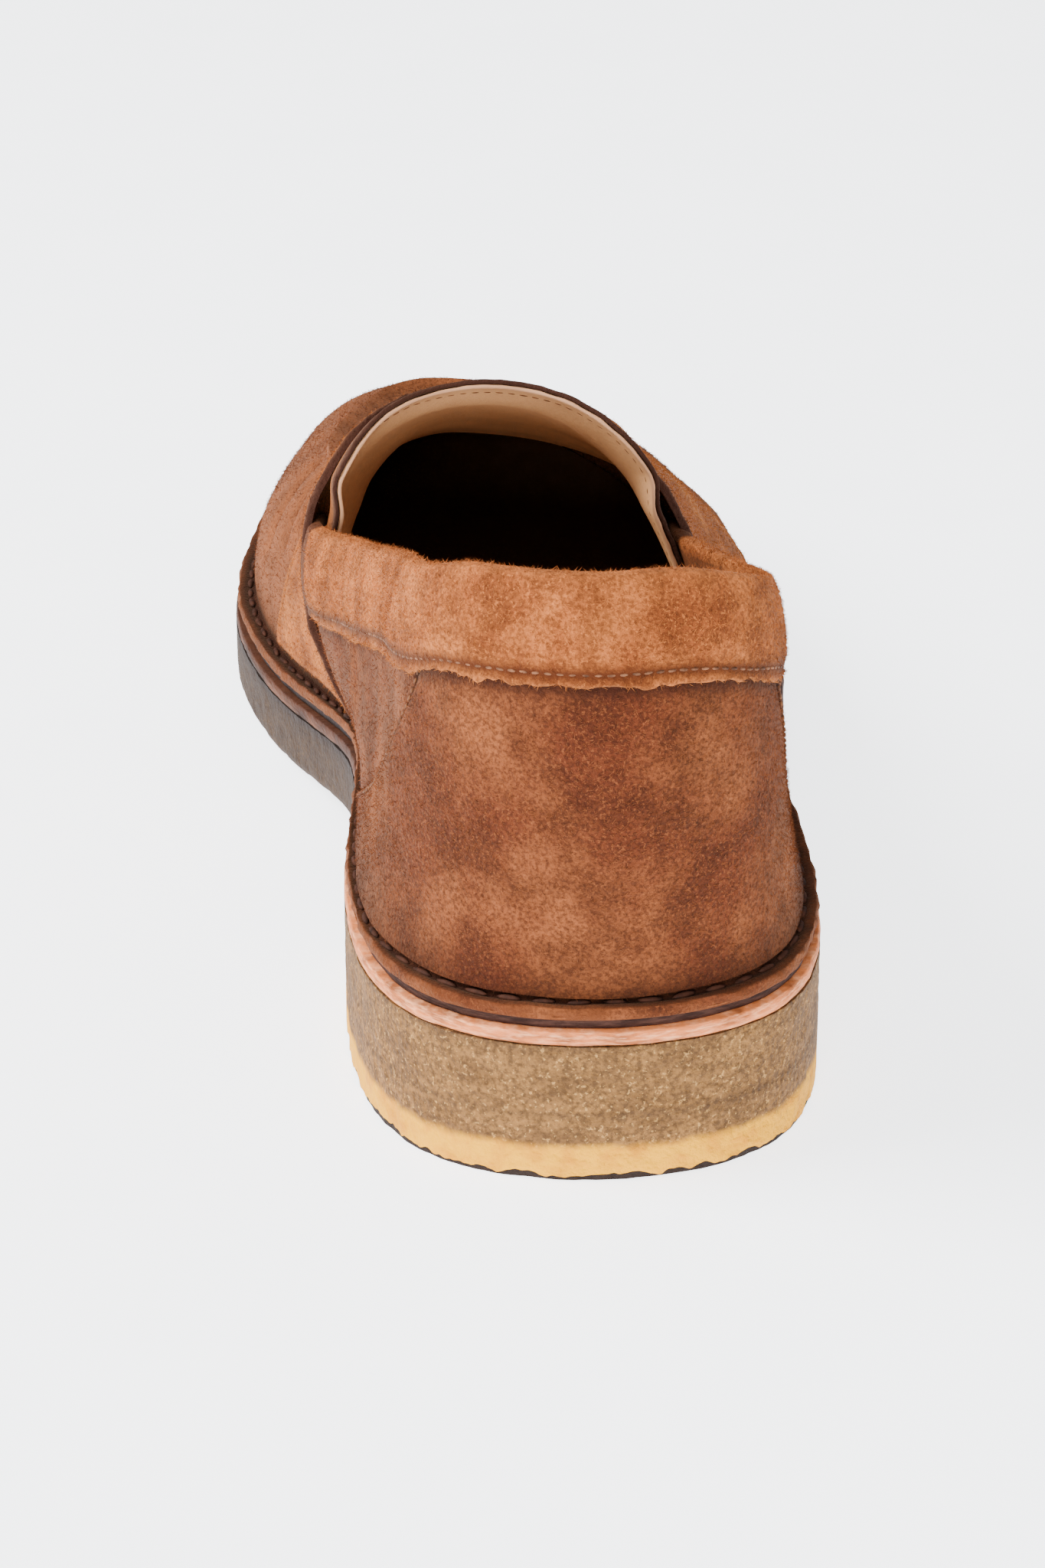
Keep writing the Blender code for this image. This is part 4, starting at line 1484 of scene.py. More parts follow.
@dataclass
class Upper(Piece):
    """Vamp and quarters in one, with the turned-out flange and the raised apron seam."""

    node: str = "upper"
    slot: str = "suede"
    look: Looks = Looks.SUEDE
    stations: int = 320
    wall_rows: int = 34
    seam_rows: int = 13
    apron_rows: int = 22
    inner_rows: int = 12
    groove_reach: float = 0.0011
    groove_depth: float = 0.0005
    edge_inset: float = 0.0004
    edge_rough: float = 0.00035
    droop: float = 0.0005
    ridge_width: float = 0.0011
    seam_hollow: float = 0.0024
    first_napped_row: int = 20

    def build(self) -> bpy.types.Object:
        """Builds the mesh.

        Returns:
            The object.
        """
        station = np.linspace(-1, 1, 2 * self.stations + 1)
        foot, _ = LAST.crease.at(station)
        along = foot[:, 1] / SHOE_LENGTH
        width = np.where(station > 0, FLANGE_OUTER(along), FLANGE_INNER(along)) - FLANGE_EDGE_INSET
        top = LAST.top_share(station)
        outer, shade, edge, lift = self.flange(station, width)
        closed = np.abs(station) >= LAST.throat_end
        seam = np.where(closed, LAST.bend["seam"](np.abs(station)), SEAM_SHARE_OF_OPEN_SPOKE * top)
        length = LAST.spoke_length(station, 0 * top, 0 * top + 1)
        half = 1.6 * APRON_SEAM_WIDTH / length
        rise = APRON_SEAM_FULL_ALONG - APRON_SEAM_START_ALONG
        raised = smooth_step((along - APRON_SEAM_START_ALONG) / rise)
        shares = [t * (seam - half) for t in np.linspace(0.012, 1, self.wall_rows, endpoint=False)]
        shares += [seam + t * half for t in np.linspace(-1, 1, self.seam_rows)]
        shares += [seam + half + t * (top - seam - half) for t in np.linspace(0, 1, self.apron_rows)[1:]]
        for share in shares:
            place = LAST.point(station, share)
            off = (share - seam) * length
            ridge = APRON_SEAM_HEIGHT * bump(off, self.ridge_width)
            ridge = ridge - 0.0006 * bump(off - self.seam_hollow, 0.0009)
            fade = smooth_step(share / 0.05)
            upright = value_noise(place * (1.0, 1.0, 0.18), 0.006, 17) * (1 - raised)
            relief = (vamp_relief(station, share, place) + raised * ridge + 0.0004 * upright) * fade
            outer.append(LAST.skin(station, share, relief))
            rim = bump((top - share) * length, 0.0006) * ~closed
            foot_shade = 0.50 * bump(share * length, 0.006) + 0.5 * bump(share * length, 0.0012)
            # Painted shadow under the collar band's lower edge.
            under = 0.9 * bump((top - share) * length - BAND, 0.0018) * ~closed
            # Painted shade in the hollows of the quarters' upright ripples and in the hollow beside the apron
            # seam.
            fold_shade = 0.30 * np.clip(0.3 - upright, 0, 1) * (1 - raised)
            hollow = 0.45 * raised * bump(off - self.seam_hollow, 0.0012)
            shade.append(np.clip(foot_shade + under + fold_shade + hollow, 0, 1))
            # The vamp is painted lighter, partly its own paler tone and partly painted light, and lighter
            # still along the seam's ridge.
            lift.append(0.85 * raised + 0.30 * raised * bump(off, 0.0012) + 0 * share)
            edge.append(rim)
        inner = [self.flat(station, FLANGE_UNDER, 0.0002 - width)]
        inner.append(self.flat(station, FLANGE_UNDER, UPPER_THICKNESS))
        for part in np.linspace(0.03, 1, self.inner_rows):
            inner.append(LAST.skin(station, part * top, -WALL_THICKNESS + 0 * top))
        return self.joined(np.stack(outer), np.stack(inner), shade, edge, lift, closed)

    def flat(self, station: Array, level: float, inwards: Array | float) -> Array:
        """Points of the flange's level.

        Args:
            station: Stations.
            level: Height over the sole's underside.
            inwards: Distance in from the crease, negative outside it.

        Returns:
            The points.
        """
        foot, out = LAST.crease.at(station)
        plan = foot - out * np.broadcast_to(inwards, station.shape)[:, None]
        height = underside(plan[:, 1]) + level
        return np.concatenate([plan, height[:, None]], -1)

    def flange(self, station: Array, width: Array) -> tuple[list, list, list, list]:
        """Outer rows of the flange from its underside over its cut edge to the crease.

        Args:
            station: Stations.
            width: The flange's width at each.

        Returns:
            The rows and their shade, edge and lift values.
        """
        zero = np.zeros(len(station))
        rows = [self.flat(station, FLANGE_UNDER - self.droop, self.edge_inset - width)]
        shade = [zero]
        edge = [zero + 1]
        for turn in np.linspace(0.1, 0.9, 5):
            level = FLANGE_UNDER - self.droop + (UPPER_THICKNESS + self.droop) * turn
            rough = self.edge_rough * value_noise(rows[0] + turn * 0.002, 0.0018, 11)
            inwards = 0.0003 * (2 * turn - 1) ** 2 - width
            row = self.flat(station, level, inwards)
            _, out = LAST.crease.at(station)
            row[:, :2] += out * rough[:, None]
            rows.append(row)
            shade.append(zero)
            edge.append(np.clip(0.55 + 0.7 * value_noise(row, 0.003, 15), 0, 1))
        for part in np.linspace(0, 1, 12):
            reach = (width - self.edge_inset) * (1 - part)
            row = self.flat(station, FLANGE_TOP, -reach)
            groove = bump(reach - self.groove_reach, 0.0008)
            row[:, 2] += 0.00022 * value_noise(row, 0.0035, 12) - self.groove_depth * groove
            rows.append(row)
            # The flange's top is darker, more so towards the forefoot: dirt, and painted shade at the foot of
            # the wall; the stitch groove gets painted shade too.
            dirt = 0.60 + 0.25 * smooth_step((row[:, 1] / SHOE_LENGTH - 0.15) / 0.1)
            shade.append(np.clip(dirt + 0.4 * groove + 0.30 * value_noise(row, 0.004, 13), 0, 1))
            edge.append(0.5 * bump(reach - width, 0.0009))
        return rows, shade, edge, [zero] * len(rows)

    def joined(
        self, outer: Array, inner: Array, shade: list, edge: list, lift: list, closed: Array
    ) -> bpy.types.Object:
        """Joins the outer and inner faces at the flange's edge and round the opening.

        Args:
            outer: Outer points, by row and station.
            inner: Inner points, by row and station.
            shade: Shade of each outer row.
            edge: Cut edge value of each outer row.
            lift: How much lighter each outer row is painted, partly as painted light.
            closed: Which stations reach the spine.

        Returns:
            The object.
        """
        rows, wide = outer.shape[:2]
        count = rows * wide
        front = np.arange(count).reshape(rows, wide)
        back = np.arange(inner.shape[0] * wide).reshape(-1, wide) + count
        faces = [quads(rows, wide), quads(inner.shape[0], wide, count), strip(front[0], back[0])]
        opened = np.nonzero(~closed)[0]
        span = np.arange(opened[0] - 1, opened[-1] + 2)
        faces.append(strip(front[-1, span], back[-1, span]))
        points = np.concatenate([outer.reshape(-1, 3), inner.reshape(-1, 3)])
        napped = (np.arange(rows) >= self.first_napped_row)[:, None]
        # The inner face takes the light tone: the paler flesh side, and painted light inside the unlit shoe.
        shown = {
            "shade": (np.stack(shade), 0.0),
            "edge": (np.stack(edge), 0.0),
            "lift": (np.stack(lift), 1.0),
            "nap": ((1 - np.stack(shade)) * napped, 0.0),
        }
        hidden = inner.shape[0] * wide
        values = {k: np.concatenate([v.ravel(), np.full(hidden, inside)]) for k, (v, inside) in shown.items()}
        return mesh_object(self.node, points, np.concatenate(faces), values)


@dataclass
class Counter(Piece):
    """Back panel that laps over the quarters, under the collar band."""

    node: str = "counter"
    slot: str = "suede"
    look: Looks = Looks.SUEDE
    rows: int = 70
    columns: int = 250
    crowding: float = 1.35
    seam_inset: float = 0.0018
    jag_depth: float = 0.0025
    under_collar: float = 0.0015

    def place_at(self, level: Array, spread: Array) -> tuple[Array, Array, Array]:
        """Where a point of the panel lies.

        Args:
            level: 0 at its foot and 1 at its top.
            spread: -1 at its inner seam and 1 at its outer one.

        Returns:
            Stations, shares, and the distance to the nearer front seam.
        """
        along = LAST.counter_along(COUNTER_TOP_SHARE * level)
        reach = LAST.crease.station_at(along * SHOE_LENGTH)
        station = spread * reach
        down = COLLAR_BAND_HEIGHT - self.under_collar
        top = LAST.share_below(station, LAST.topline_share(station), down)
        share = COUNTER_FOOT_SHARE + (top - COUNTER_FOOT_SHARE) * level
        edge = LAST.point(np.sign(spread + 1e-9) * reach, share)
        return station, share, np.linalg.norm(LAST.point(station, share) - edge, axis=-1)

    def build(self) -> bpy.types.Object:
        """Builds the mesh.

        Returns:
            The object.
        """
        turn = np.linspace(-1, 1, self.columns)
        spread = np.sign(turn) * (1 - (1 - np.abs(turn)) ** self.crowding)
        level, spread = np.meshgrid(np.linspace(0, 1, self.rows), spread, indexing="ij")
        station, share, near = self.place_at(level, spread)
        place = LAST.point(station, share)
        jag = self.jag_depth * value_noise(place, 0.0025, 21) * (np.abs(spread) > 0.999)
        station = station + jag * np.sign(station)
        length = LAST.spoke_length(station[0], 0 * share[0], 0 * share[0] + 1)
        relief = 0.00035 * value_noise(place, 0.022, 22) + 0.00016 * value_noise(place, 0.008, 23)
        groove = 0.0003 * bump(near - self.seam_inset, 0.0006)
        thick = COUNTER_THICKNESS * rounded(near, 0.0007)
        foot = share * length
        under = (share[-1] - share) * length - self.under_collar
        outer = LAST.skin(station, share, 0.0002 + thick + relief * smooth_step(near / 0.004) - groove)
        inner = LAST.skin(station, share, 0 * share - 0.0002)
        # Painted shade at the foot of the wall and in the seam's groove, and a painted shadow under the
        # collar band.
        groove_shade = 0.40 * bump(near - self.seam_inset, 0.0007)
        shade = np.clip(0.60 * bump(foot, 0.006) + groove_shade + 0.9 * bump(under, 0.0018), 0, 1)
        values = {"shade": shade, "edge": 0.8 * bump(near, 0.0005), "nap": 1 - shade}
        values["lift"] = 0.25 * bump(near - 0.0006, 0.0006)
        return shell(self.node, outer, inner, values)


# Collar

class Fold(NamedTuple):
    """A point of the folded band's cover: out from the wall, share of the padding, and down from the top."""

    out: float
    puff: float
    down: float


BAND = COLLAR_BAND_HEIGHT
INNER = COLLAR_INNER_DEPTH
LINING_OUT = -WALL_THICKNESS - 0.0002 - COLLAR_LEAF
COVER_FOLDS = (
    Fold(0.0002, 0.35, BAND),
    Fold(0.0003, 0.75, 0.96 * BAND),
    Fold(0.0004, 0.66, 0.885 * BAND),
    Fold(LAP_GAP, 0.86, 0.78 * BAND),
    Fold(LAP_GAP, 1.00, 0.45 * BAND),
    Fold(LAP_GAP, 0.94, 0.15 * BAND),
    Fold(LAP_GAP, 0.62, -0.55 * COLLAR_RISE),
    Fold(-0.4 * UPPER_THICKNESS, 0.0, -COLLAR_RISE),
    Fold(LINING_OUT + 0.0002, 0.0, -0.5 * COLLAR_RISE),
    Fold(LINING_OUT, 0.0, 0.2 * INNER),
    Fold(LINING_OUT, 0.0, 0.6 * INNER),
    Fold(LINING_OUT, 0.0, INNER),
)


@dataclass
class Collar(Piece):
    """Rolled, lightly padded suede band with a raw lower edge."""

    node: str = "collar"
    slot: str = "collar_suede"
    look: Looks = Looks.COLLAR_SUEDE
    columns: int = 400
    samples: int = 7
    stitch_down: float = BAND - 0.0021
    raw_edge_knot: int = 3
    top_knot: float = 6.5
    inner_knot: float = 8.2
    wrinkle_depth: float = 0.00010
    side_wrinkle_depth: float = 0.00032

    def puff(self, station: Array) -> Array:
        """The padding goes flat where the band's ends pass under the saddle."""
        return COLLAR_PUFF + (COLLAR_END_PUFF - COLLAR_PUFF) * self.thinning(station)

    def thinning(self, station: Array) -> Array:
        """How far the padding has gone flat."""
        start, end = LAST.crease.station_at(np.array([COLLAR_THIN_ALONG, COLLAR_FLAT_ALONG]) * SHOE_LENGTH)
        return smooth_step((np.abs(station) - start) / (end - start))

    def wrinkles(self, station: Array, down: Array, place: Array) -> Array:
        """Soft upright wrinkles of the band, strongest towards its ends.

        Args:
            station: Stations.
            down: Distance below the top edge.
            place: The points there.

        Returns:
            Distance outwards.
        """
        upright = place * np.array([1.0, 1.0, 0.22])
        side = smooth_step((np.abs(station) / LAST.throat_side - 0.35) / 0.4)
        strength = self.wrinkle_depth + self.side_wrinkle_depth * side
        over_foot = smooth_step((1.02 * BAND - down) / (0.3 * BAND))
        on_cover = over_foot * smooth_step((down + COLLAR_RISE) / 0.004)
        wave = value_noise(upright, 0.0045, 31) + 0.6 * value_noise(upright, 0.0022, 32)
        return (wave * strength + 0.00025 * value_noise(place, 0.011, 33)) * on_cover

    def build(self) -> bpy.types.Object:
        """Builds the mesh.

        Returns:
            The object.
        """
        knots = np.arange(len(COVER_FOLDS))
        at = np.linspace(0, len(COVER_FOLDS) - 1, self.samples * (len(COVER_FOLDS) - 1) + 1)
        out = Curve(knots, [f.out for f in COVER_FOLDS])(at)
        share = Curve(knots, [f.puff for f in COVER_FOLDS])(at)
        down = Curve(knots, [f.down for f in COVER_FOLDS])(at)
        station = np.linspace(-LAST.throat_side, LAST.throat_side, self.columns)
        out, station_grid = np.meshgrid(out, station, indexing="ij")
        share = share[:, None] * np.ones(self.columns)
        down = down[:, None] * np.ones(self.columns)
        place = LAST.collar_point(station_grid, out, down)
        knot = at[:, None]
        ragged = 0.0006 * value_noise(place, 0.0013, 34) + 0.0005 * value_noise(place, 0.004, 35)
        down = down + ragged * bump(down - BAND, 0.0008) * (knot < self.raw_edge_knot)
        relief = self.wrinkles(station_grid, down, place) * (knot < self.top_knot + 1)
        full = out + share * self.puff(station_grid) + relief
        outer = LAST.collar_point(station_grid, full, down)
        outside = knot < self.top_knot
        slot_out = np.where(outside, 0.0, -WALL_THICKNESS) * np.ones_like(down)
        slot_down = np.where(outside, down, np.clip(down, -LAP_GAP, INNER))
        inner = LAST.collar_point(station_grid, slot_out, slot_down)
        # Painted shadow of the saddle's edge, where the band's ends go flat under it.
        end = np.clip(3 * self.thinning(station_grid + 0.012 * np.sign(station_grid)), 0, 0.95)
        # Painted shade in the groove of the stitch row.
        groove_shade = 0.95 * bump(down - self.stitch_down, 0.0012) * (knot < self.raw_edge_knot + 1)
        # The inner face is darker and the raw lower edge paler; the top of the roll, which faces up, gets a
        # painted highlight as lift.
        values = {
            "shade": np.clip(0.45 * (knot > self.inner_knot) + groove_shade + end, 0, 1),
            "edge": 0.5 * bump(knot, 0.6),
            "lift": 0.45 * bump(knot - self.top_knot - 0.1, 0.9),
        }
        values["nap"] = (knot < 8) * (1 - values["shade"])
        values = {key: value * np.ones(down.shape) for key, value in values.items()}
        return shell(self.node, outer, inner, values)


# Saddle and tongue

def above_collar(share: Array, clear: float) -> Array:
    """Rises from 0 to 1 over the part of a spoke that starts a share clear above the collar's ends."""
    ends = LAST.topline_share(np.array([LAST.throat_side, -LAST.throat_side]))
    return smooth_step((share - ends.max() - clear) / 0.10)


@dataclass
class Strap(Piece):
    """A piece that arches over the instep from its inner to its outer foot."""

    edges: tuple[BandEdge, ...] = ()
    foot_share: float = 0.0

    def rear(self, share: Array) -> Array:
        """Where its rear edge crosses the spokes, as shares of the length."""
        return column(self.edges, "share", lambda row: row.rear)(share)

    def front(self, share: Array) -> Array:
        """Where its front edge crosses the spokes, as shares of the length."""
        return column(self.edges, "share", lambda row: row.front)(share)

    def place_at(self, turn: Array, part: Array) -> tuple[Array, Array, Array]:
        """Where a point of the strap lies.

        Args:
            turn: -1 at its inner foot, 0 at the spine, 1 at its outer foot.
            part: 0 at its rear edge and 1 at its front edge.

        Returns:
            Places along, stations and shares.
        """
        share = self.foot_share + (1 - self.foot_share) * (1 - np.abs(turn))
        along = self.rear(share) + (self.front(share) - self.rear(share)) * part
        station = np.where(turn >= 0, 1, -1) * LAST.crease.station_at(along * SHOE_LENGTH)
        return along, station, share


@dataclass
class Saddle(Strap):
    """Wide strap over the instep, from flange to flange."""

    node: str = "saddle"
    look: Looks = Looks.SADDLE_SUEDE
    edges: tuple[BandEdge, ...] = SADDLE_EDGES
    foot_share: float = SADDLE_FOOT_SHARE
    around: int = 280
    across: int = 64
    groove_inset: float = 0.0022
    ridge_inset: float = 0.0150
    hollow_inset: float = 0.0112
    hollow_width: float = 0.0014

    def lift(self, along: Array, share: Array) -> Array:
        """How far the saddle stands off the upper: it rides over the collar's ends.

        Args:
            along: Shares of the length.
            share: Shares of the spoke.

        Returns:
            The distance.
        """
        side = np.array(LAST.throat_side)
        foot = LAST.share_below(side, LAST.topline_share(side), COLLAR_BAND_HEIGHT)
        beyond = 1 - smooth_step((along - THROAT_SIDE_ALONG - 0.004) / 0.03)
        above_foot = smooth_step((share - foot + 0.10) / 0.09)
        over = (LAP_GAP + COLLAR_END_PUFF) * beyond * above_foot * (1 - above_collar(share, 0.05))
        return 0.5 * LAP_GAP + over

    def build(self) -> bpy.types.Object:
        """Builds the mesh.

        Returns:
            The object.
        """
        spread = (1 - np.cos(np.linspace(0, math.pi, self.across))) / 2
        turn, part = np.meshgrid(np.linspace(-1, 1, self.around), spread, indexing="ij")
        along, station, share = self.place_at(turn, part)
        place = LAST.point(station, share)
        width = (self.front(share) - self.rear(share)) * SHOE_LENGTH
        near = np.minimum(part, 1 - part) * width
        near = np.minimum(near, (share - SADDLE_FOOT_SHARE) * 0.09)
        rough = 0.00022 * value_noise(place, 0.0016, 41) * bump(near, 0.0008)
        relief = 0.00040 * value_noise(place, 0.024, 42) + 0.00012 * value_noise(place, 0.008, 43)
        relief = relief * smooth_step(near / 0.006)
        from_rear = part * width
        high = smooth_step((share - 0.55) / 0.15)
        hollow = bump(from_rear - self.hollow_inset, self.hollow_width)
        relief = relief + high * (0.0012 * bump(from_rear - self.ridge_inset, 0.0022) - 0.0013 * hollow)
        groove = 0.00025 * bump(near - self.groove_inset, 0.0006)
        lift = self.lift(along, share)
        thick = SADDLE_THICKNESS * rounded(near, 0.0006)
        outer = LAST.skin(station, share, lift + thick + relief + rough - groove)
        inner = LAST.skin(station, share, lift - 0.0003)
        # Painted shade in the stitch groove and the hollow, and a painted shadow along the rear edge low on
        # the sides, beside the collar's ends.
        groove_shade = 0.25 * bump(near - self.groove_inset, 0.0007) + 0.5 * high * hollow
        rear_shadow = 0.7 * (1 - smooth_step((from_rear - 0.001) / 0.003)) * (1 - high)
        values = {
            "shade": np.maximum(groove_shade, rear_shadow),
            "edge": bump(near, 0.0008),
            "lift": 0.20 * bump(near - 0.0010, 0.0006),
            "nap": np.ones_like(near),
        }
        return shell(self.node, outer, inner, values)


@dataclass
class TongueLayer(Strap):
    """A layer of the tongue, which comes up through the throat under the saddle."""

    edges: tuple[BandEdge, ...] = TONGUE_EDGES
    foot_share: float = TONGUE_FOOT_SHARE
    above: float = 0.0
    thickness: float = TONGUE_THICKNESS
    around: int = 240
    across: int = 56
    cut: float = 0.0006
    # How dark the painted shade gets further in, towards and under the saddle
    dirt: float = 0.0

    def depth(self, along: Array, share: Array) -> Array:
        """How far inside the last the tongue's outer face lies.

        Args:
            along: Shares of the length.
            share: Shares of the spoke.

        Returns:
            The depth, negative where it flares out.
        """
        side = 1 - above_collar(share, 0.04)
        rear = self.rear(share)
        below = smooth_step((along - rear) / (THROAT_SIDE_ALONG - 0.005 - rear))
        free = (1 - below) * (1 - side)
        return COLLAR_LEAF * side + (WALL_THICKNESS + LAP_GAP) * (1 - free) - TONGUE_FLARE * free

    def build(self) -> bpy.types.Object:
        """Builds the mesh.

        Returns:
            The object.
        """
        part = np.linspace(0, 1, self.across) ** 1.6
        turn, part = np.meshgrid(np.linspace(-1, 1, self.around), part, indexing="ij")
        along, station, share = self.place_at(turn, part)
        place = LAST.point(station, share)
        near = part * (self.front(share) - self.rear(share)) * SHOE_LENGTH
        rough = 0.00016 * value_noise(place, 0.0015, 51) * bump(near, 0.0010)
        relief = 0.00015 * value_noise(place, 0.012, 52) * smooth_step(near / 0.004)
        middle = -self.depth(along, share) - self.above - self.thickness / 2
        half = self.thickness / 2 * rounded(near, 0.0006)
        outer = LAST.skin(station, share, middle + half + rough)
        inner = LAST.skin(station, share, middle - half + relief)
        # Painted shade, darker further in towards the saddle.
        shade = self.dirt * smooth_step(near / 0.02)
        values = {"shade": shade, "edge": bump(near, self.cut), "lift": 0 * near}
        return shell(self.node, outer, inner, values)


@dataclass
class Tongue(TongueLayer):
    """Suede of the tongue."""

    node: str = "tongue"
    look: Looks = Looks.SADDLE_SUEDE
    cut: float = 0.0030
    dirt: float = 0.15


@dataclass
class TongueLining(TongueLayer):
    """Tan leather lining of the tongue."""

    node: str = "tongue_lining"
    slot: str = "lining_leather"
    look: Looks = Looks.LINING
    above: float = TONGUE_THICKNESS + 0.0001
    thickness: float = TONGUE_LINING_THICKNESS
    cut: float = 0.0004


# Stitches

def geometry_tree(name: str, kinds: dict[str, str], fill: Callable) -> bpy.types.NodeTree:
    """A tree that sets one material on instances made real, built on first use.

    Args:
        name: Its name.
        kinds: Kinds of its inputs by name, besides the geometry and the material.
        fill: Adds the nodes that set the instances, from the graph and the inputs.

    Returns:
        The tree.
    """
    tree = bpy.data.node_groups.get(name)
    if tree is not None:
        return tree
    tree = bpy.data.node_groups.new(name, "GeometryNodeTree")
    for socket, kind in {"Geometry": "Geometry", **kinds, "Material": "Material"}.items():
        tree.interface.new_socket(socket, in_out="INPUT", socket_type=f"NodeSocket{kind}")
    tree.interface.new_socket("Geometry", in_out="OUTPUT", socket_type="NodeSocketGeometry")
    graph = Graph(tree)
    given = graph.add("NodeGroupInput").outputs
    real = graph.add("GeometryNodeRealizeInstances", None, {"Geometry": fill(graph, given)})
    coat = {"Geometry": real.outputs[0], "Material": given["Material"]}
    coloured = graph.add("GeometryNodeSetMaterial", None, coat)
    graph.add("NodeGroupOutput", None, {"Geometry": coloured.outputs[0]})
    return tree


def grow(source: bpy.types.Object, tree: bpy.types.NodeTree, inputs: dict) -> None:
    """Runs a geometry node tree on a mesh and keeps the result as a plain mesh of the same name.

    Args:
        source: The object the tree works on, which is removed.
        tree: The tree.
        inputs: Values of its named inputs.
    """
    modifier = source.modifiers.new(tree.name, "NODES")
    modifier.node_group = tree
    for item in tree.interface.items_tree:
        if item.name in inputs and item.in_out == "INPUT":
            modifier[item.identifier] = inputs[item.name]
    bpy.context.view_layer.update()
    graph = bpy.context.evaluated_depsgraph_get()
    data = bpy.data.meshes.new_from_object(source.evaluated_get(graph))
    name = source.name
    old = source.data
    bpy.data.objects.remove(source)
    bpy.data.meshes.remove(old)
    data.name = name
    made = linked(name, data)
    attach(made, "root")
    LOG.info("%s: %d faces", name, len(data.polygons))


@dataclass(frozen=True)
class Stitch:
    """Size of a stitch and the pace of its row in metres, and how far it may swing in radians."""

    pace: float
    length: float
    width: float
    height: float
    wander: float = 0.12


def stitch_nodes(graph: Graph, given: bpy.types.NodeInputs) -> Socket:
    """Sets flat beads along a line, each facing out from the shoe.

    Args:
        graph: The tree's graph.
        given: The tree's inputs.

    Returns:
        The instances.
    """
    line = graph.add("GeometryNodeMeshToCurve", None, {"Mesh": given["Geometry"]}).outputs[0]
    spaced = {"Curve": line, "Length": given["Pace"]}
    paced = graph.add("GeometryNodeResampleCurve", {"mode": "LENGTH"}, spaced).outputs[0]
    tangent = graph.add("GeometryNodeInputTangent").outputs[0]
    out = graph.add("GeometryNodeInputNamedAttribute", {"data_type": "FLOAT_VECTOR"}, {"Name": "out"})
    along = graph.add("FunctionNodeAlignRotationToVector", {"axis": "X"}, {"Vector": tangent})
    facing = {"Rotation": along.outputs[0], "Vector": out.outputs["Attribute"]}
    faced = graph.add("FunctionNodeAlignRotationToVector", {"axis": "Z", "pivot_axis": "X"}, facing)
    back = graph.math("MULTIPLY", given["Wander"], -1.0)
    swing = graph.random(back, given["Wander"], given["Seed"])
    ball = graph.add("GeometryNodeMeshUVSphere", None, {"Segments": 8, "Rings": 6, "Radius": 1.0})
    shape = {"Geometry": ball.outputs[0], "Scale": given["Size"]}
    bead = graph.add("GeometryNodeTransform", None, shape)
    smooth = graph.add("GeometryNodeSetShadeSmooth", None, {"Geometry": bead.outputs[0]})
    range_of_sizes = {0: (0.88, 0.9, 0.9), 1: (1.06, 1.1, 1.1), "Seed": given["Seed"]}
    sizes = graph.add("FunctionNodeRandomValue", {"data_type": "FLOAT_VECTOR"}, range_of_sizes)
    inputs = {
        "Points": paced,
        "Instance": smooth.outputs[0],
        "Rotation": graph.turn(faced.outputs[0], "Z", swing),
        "Scale": sizes.outputs[0],
    }
    return graph.add("GeometryNodeInstanceOnPoints", None, inputs).outputs[0]


@dataclass
class StitchRow:
    """A row of stitches along a line on the shoe, which face outwards."""

    name: str
    stitch: Stitch
    look: Looks
    slot: str
    line: Array
    out: Array
    seed: int

    def build(self) -> None:
        """Sets the stitches along the line's edges and keeps them as a plain mesh."""
        data = bpy.data.meshes.new(self.name)
        steps = [(i, i + 1) for i in range(len(self.line) - 1)]
        data.from_pydata((self.line - SHIFT).tolist(), steps, [])
        data.attributes.new("out", "FLOAT_VECTOR", "POINT").data.foreach_set("vector", self.out.ravel())
        wanted = {
            "Pace": self.stitch.pace,
            "Size": (self.stitch.length / 2, self.stitch.width / 2, self.stitch.height / 2),
            "Wander": self.stitch.wander,
            "Seed": self.seed,
            "Material": self.look.value.material(),
        }
        kinds = {"Pace": "Float", "Size": "Vector", "Wander": "Float", "Seed": "Int"}
        grow(linked(self.name, data), geometry_tree("stitch row", kinds, stitch_nodes), wanted)


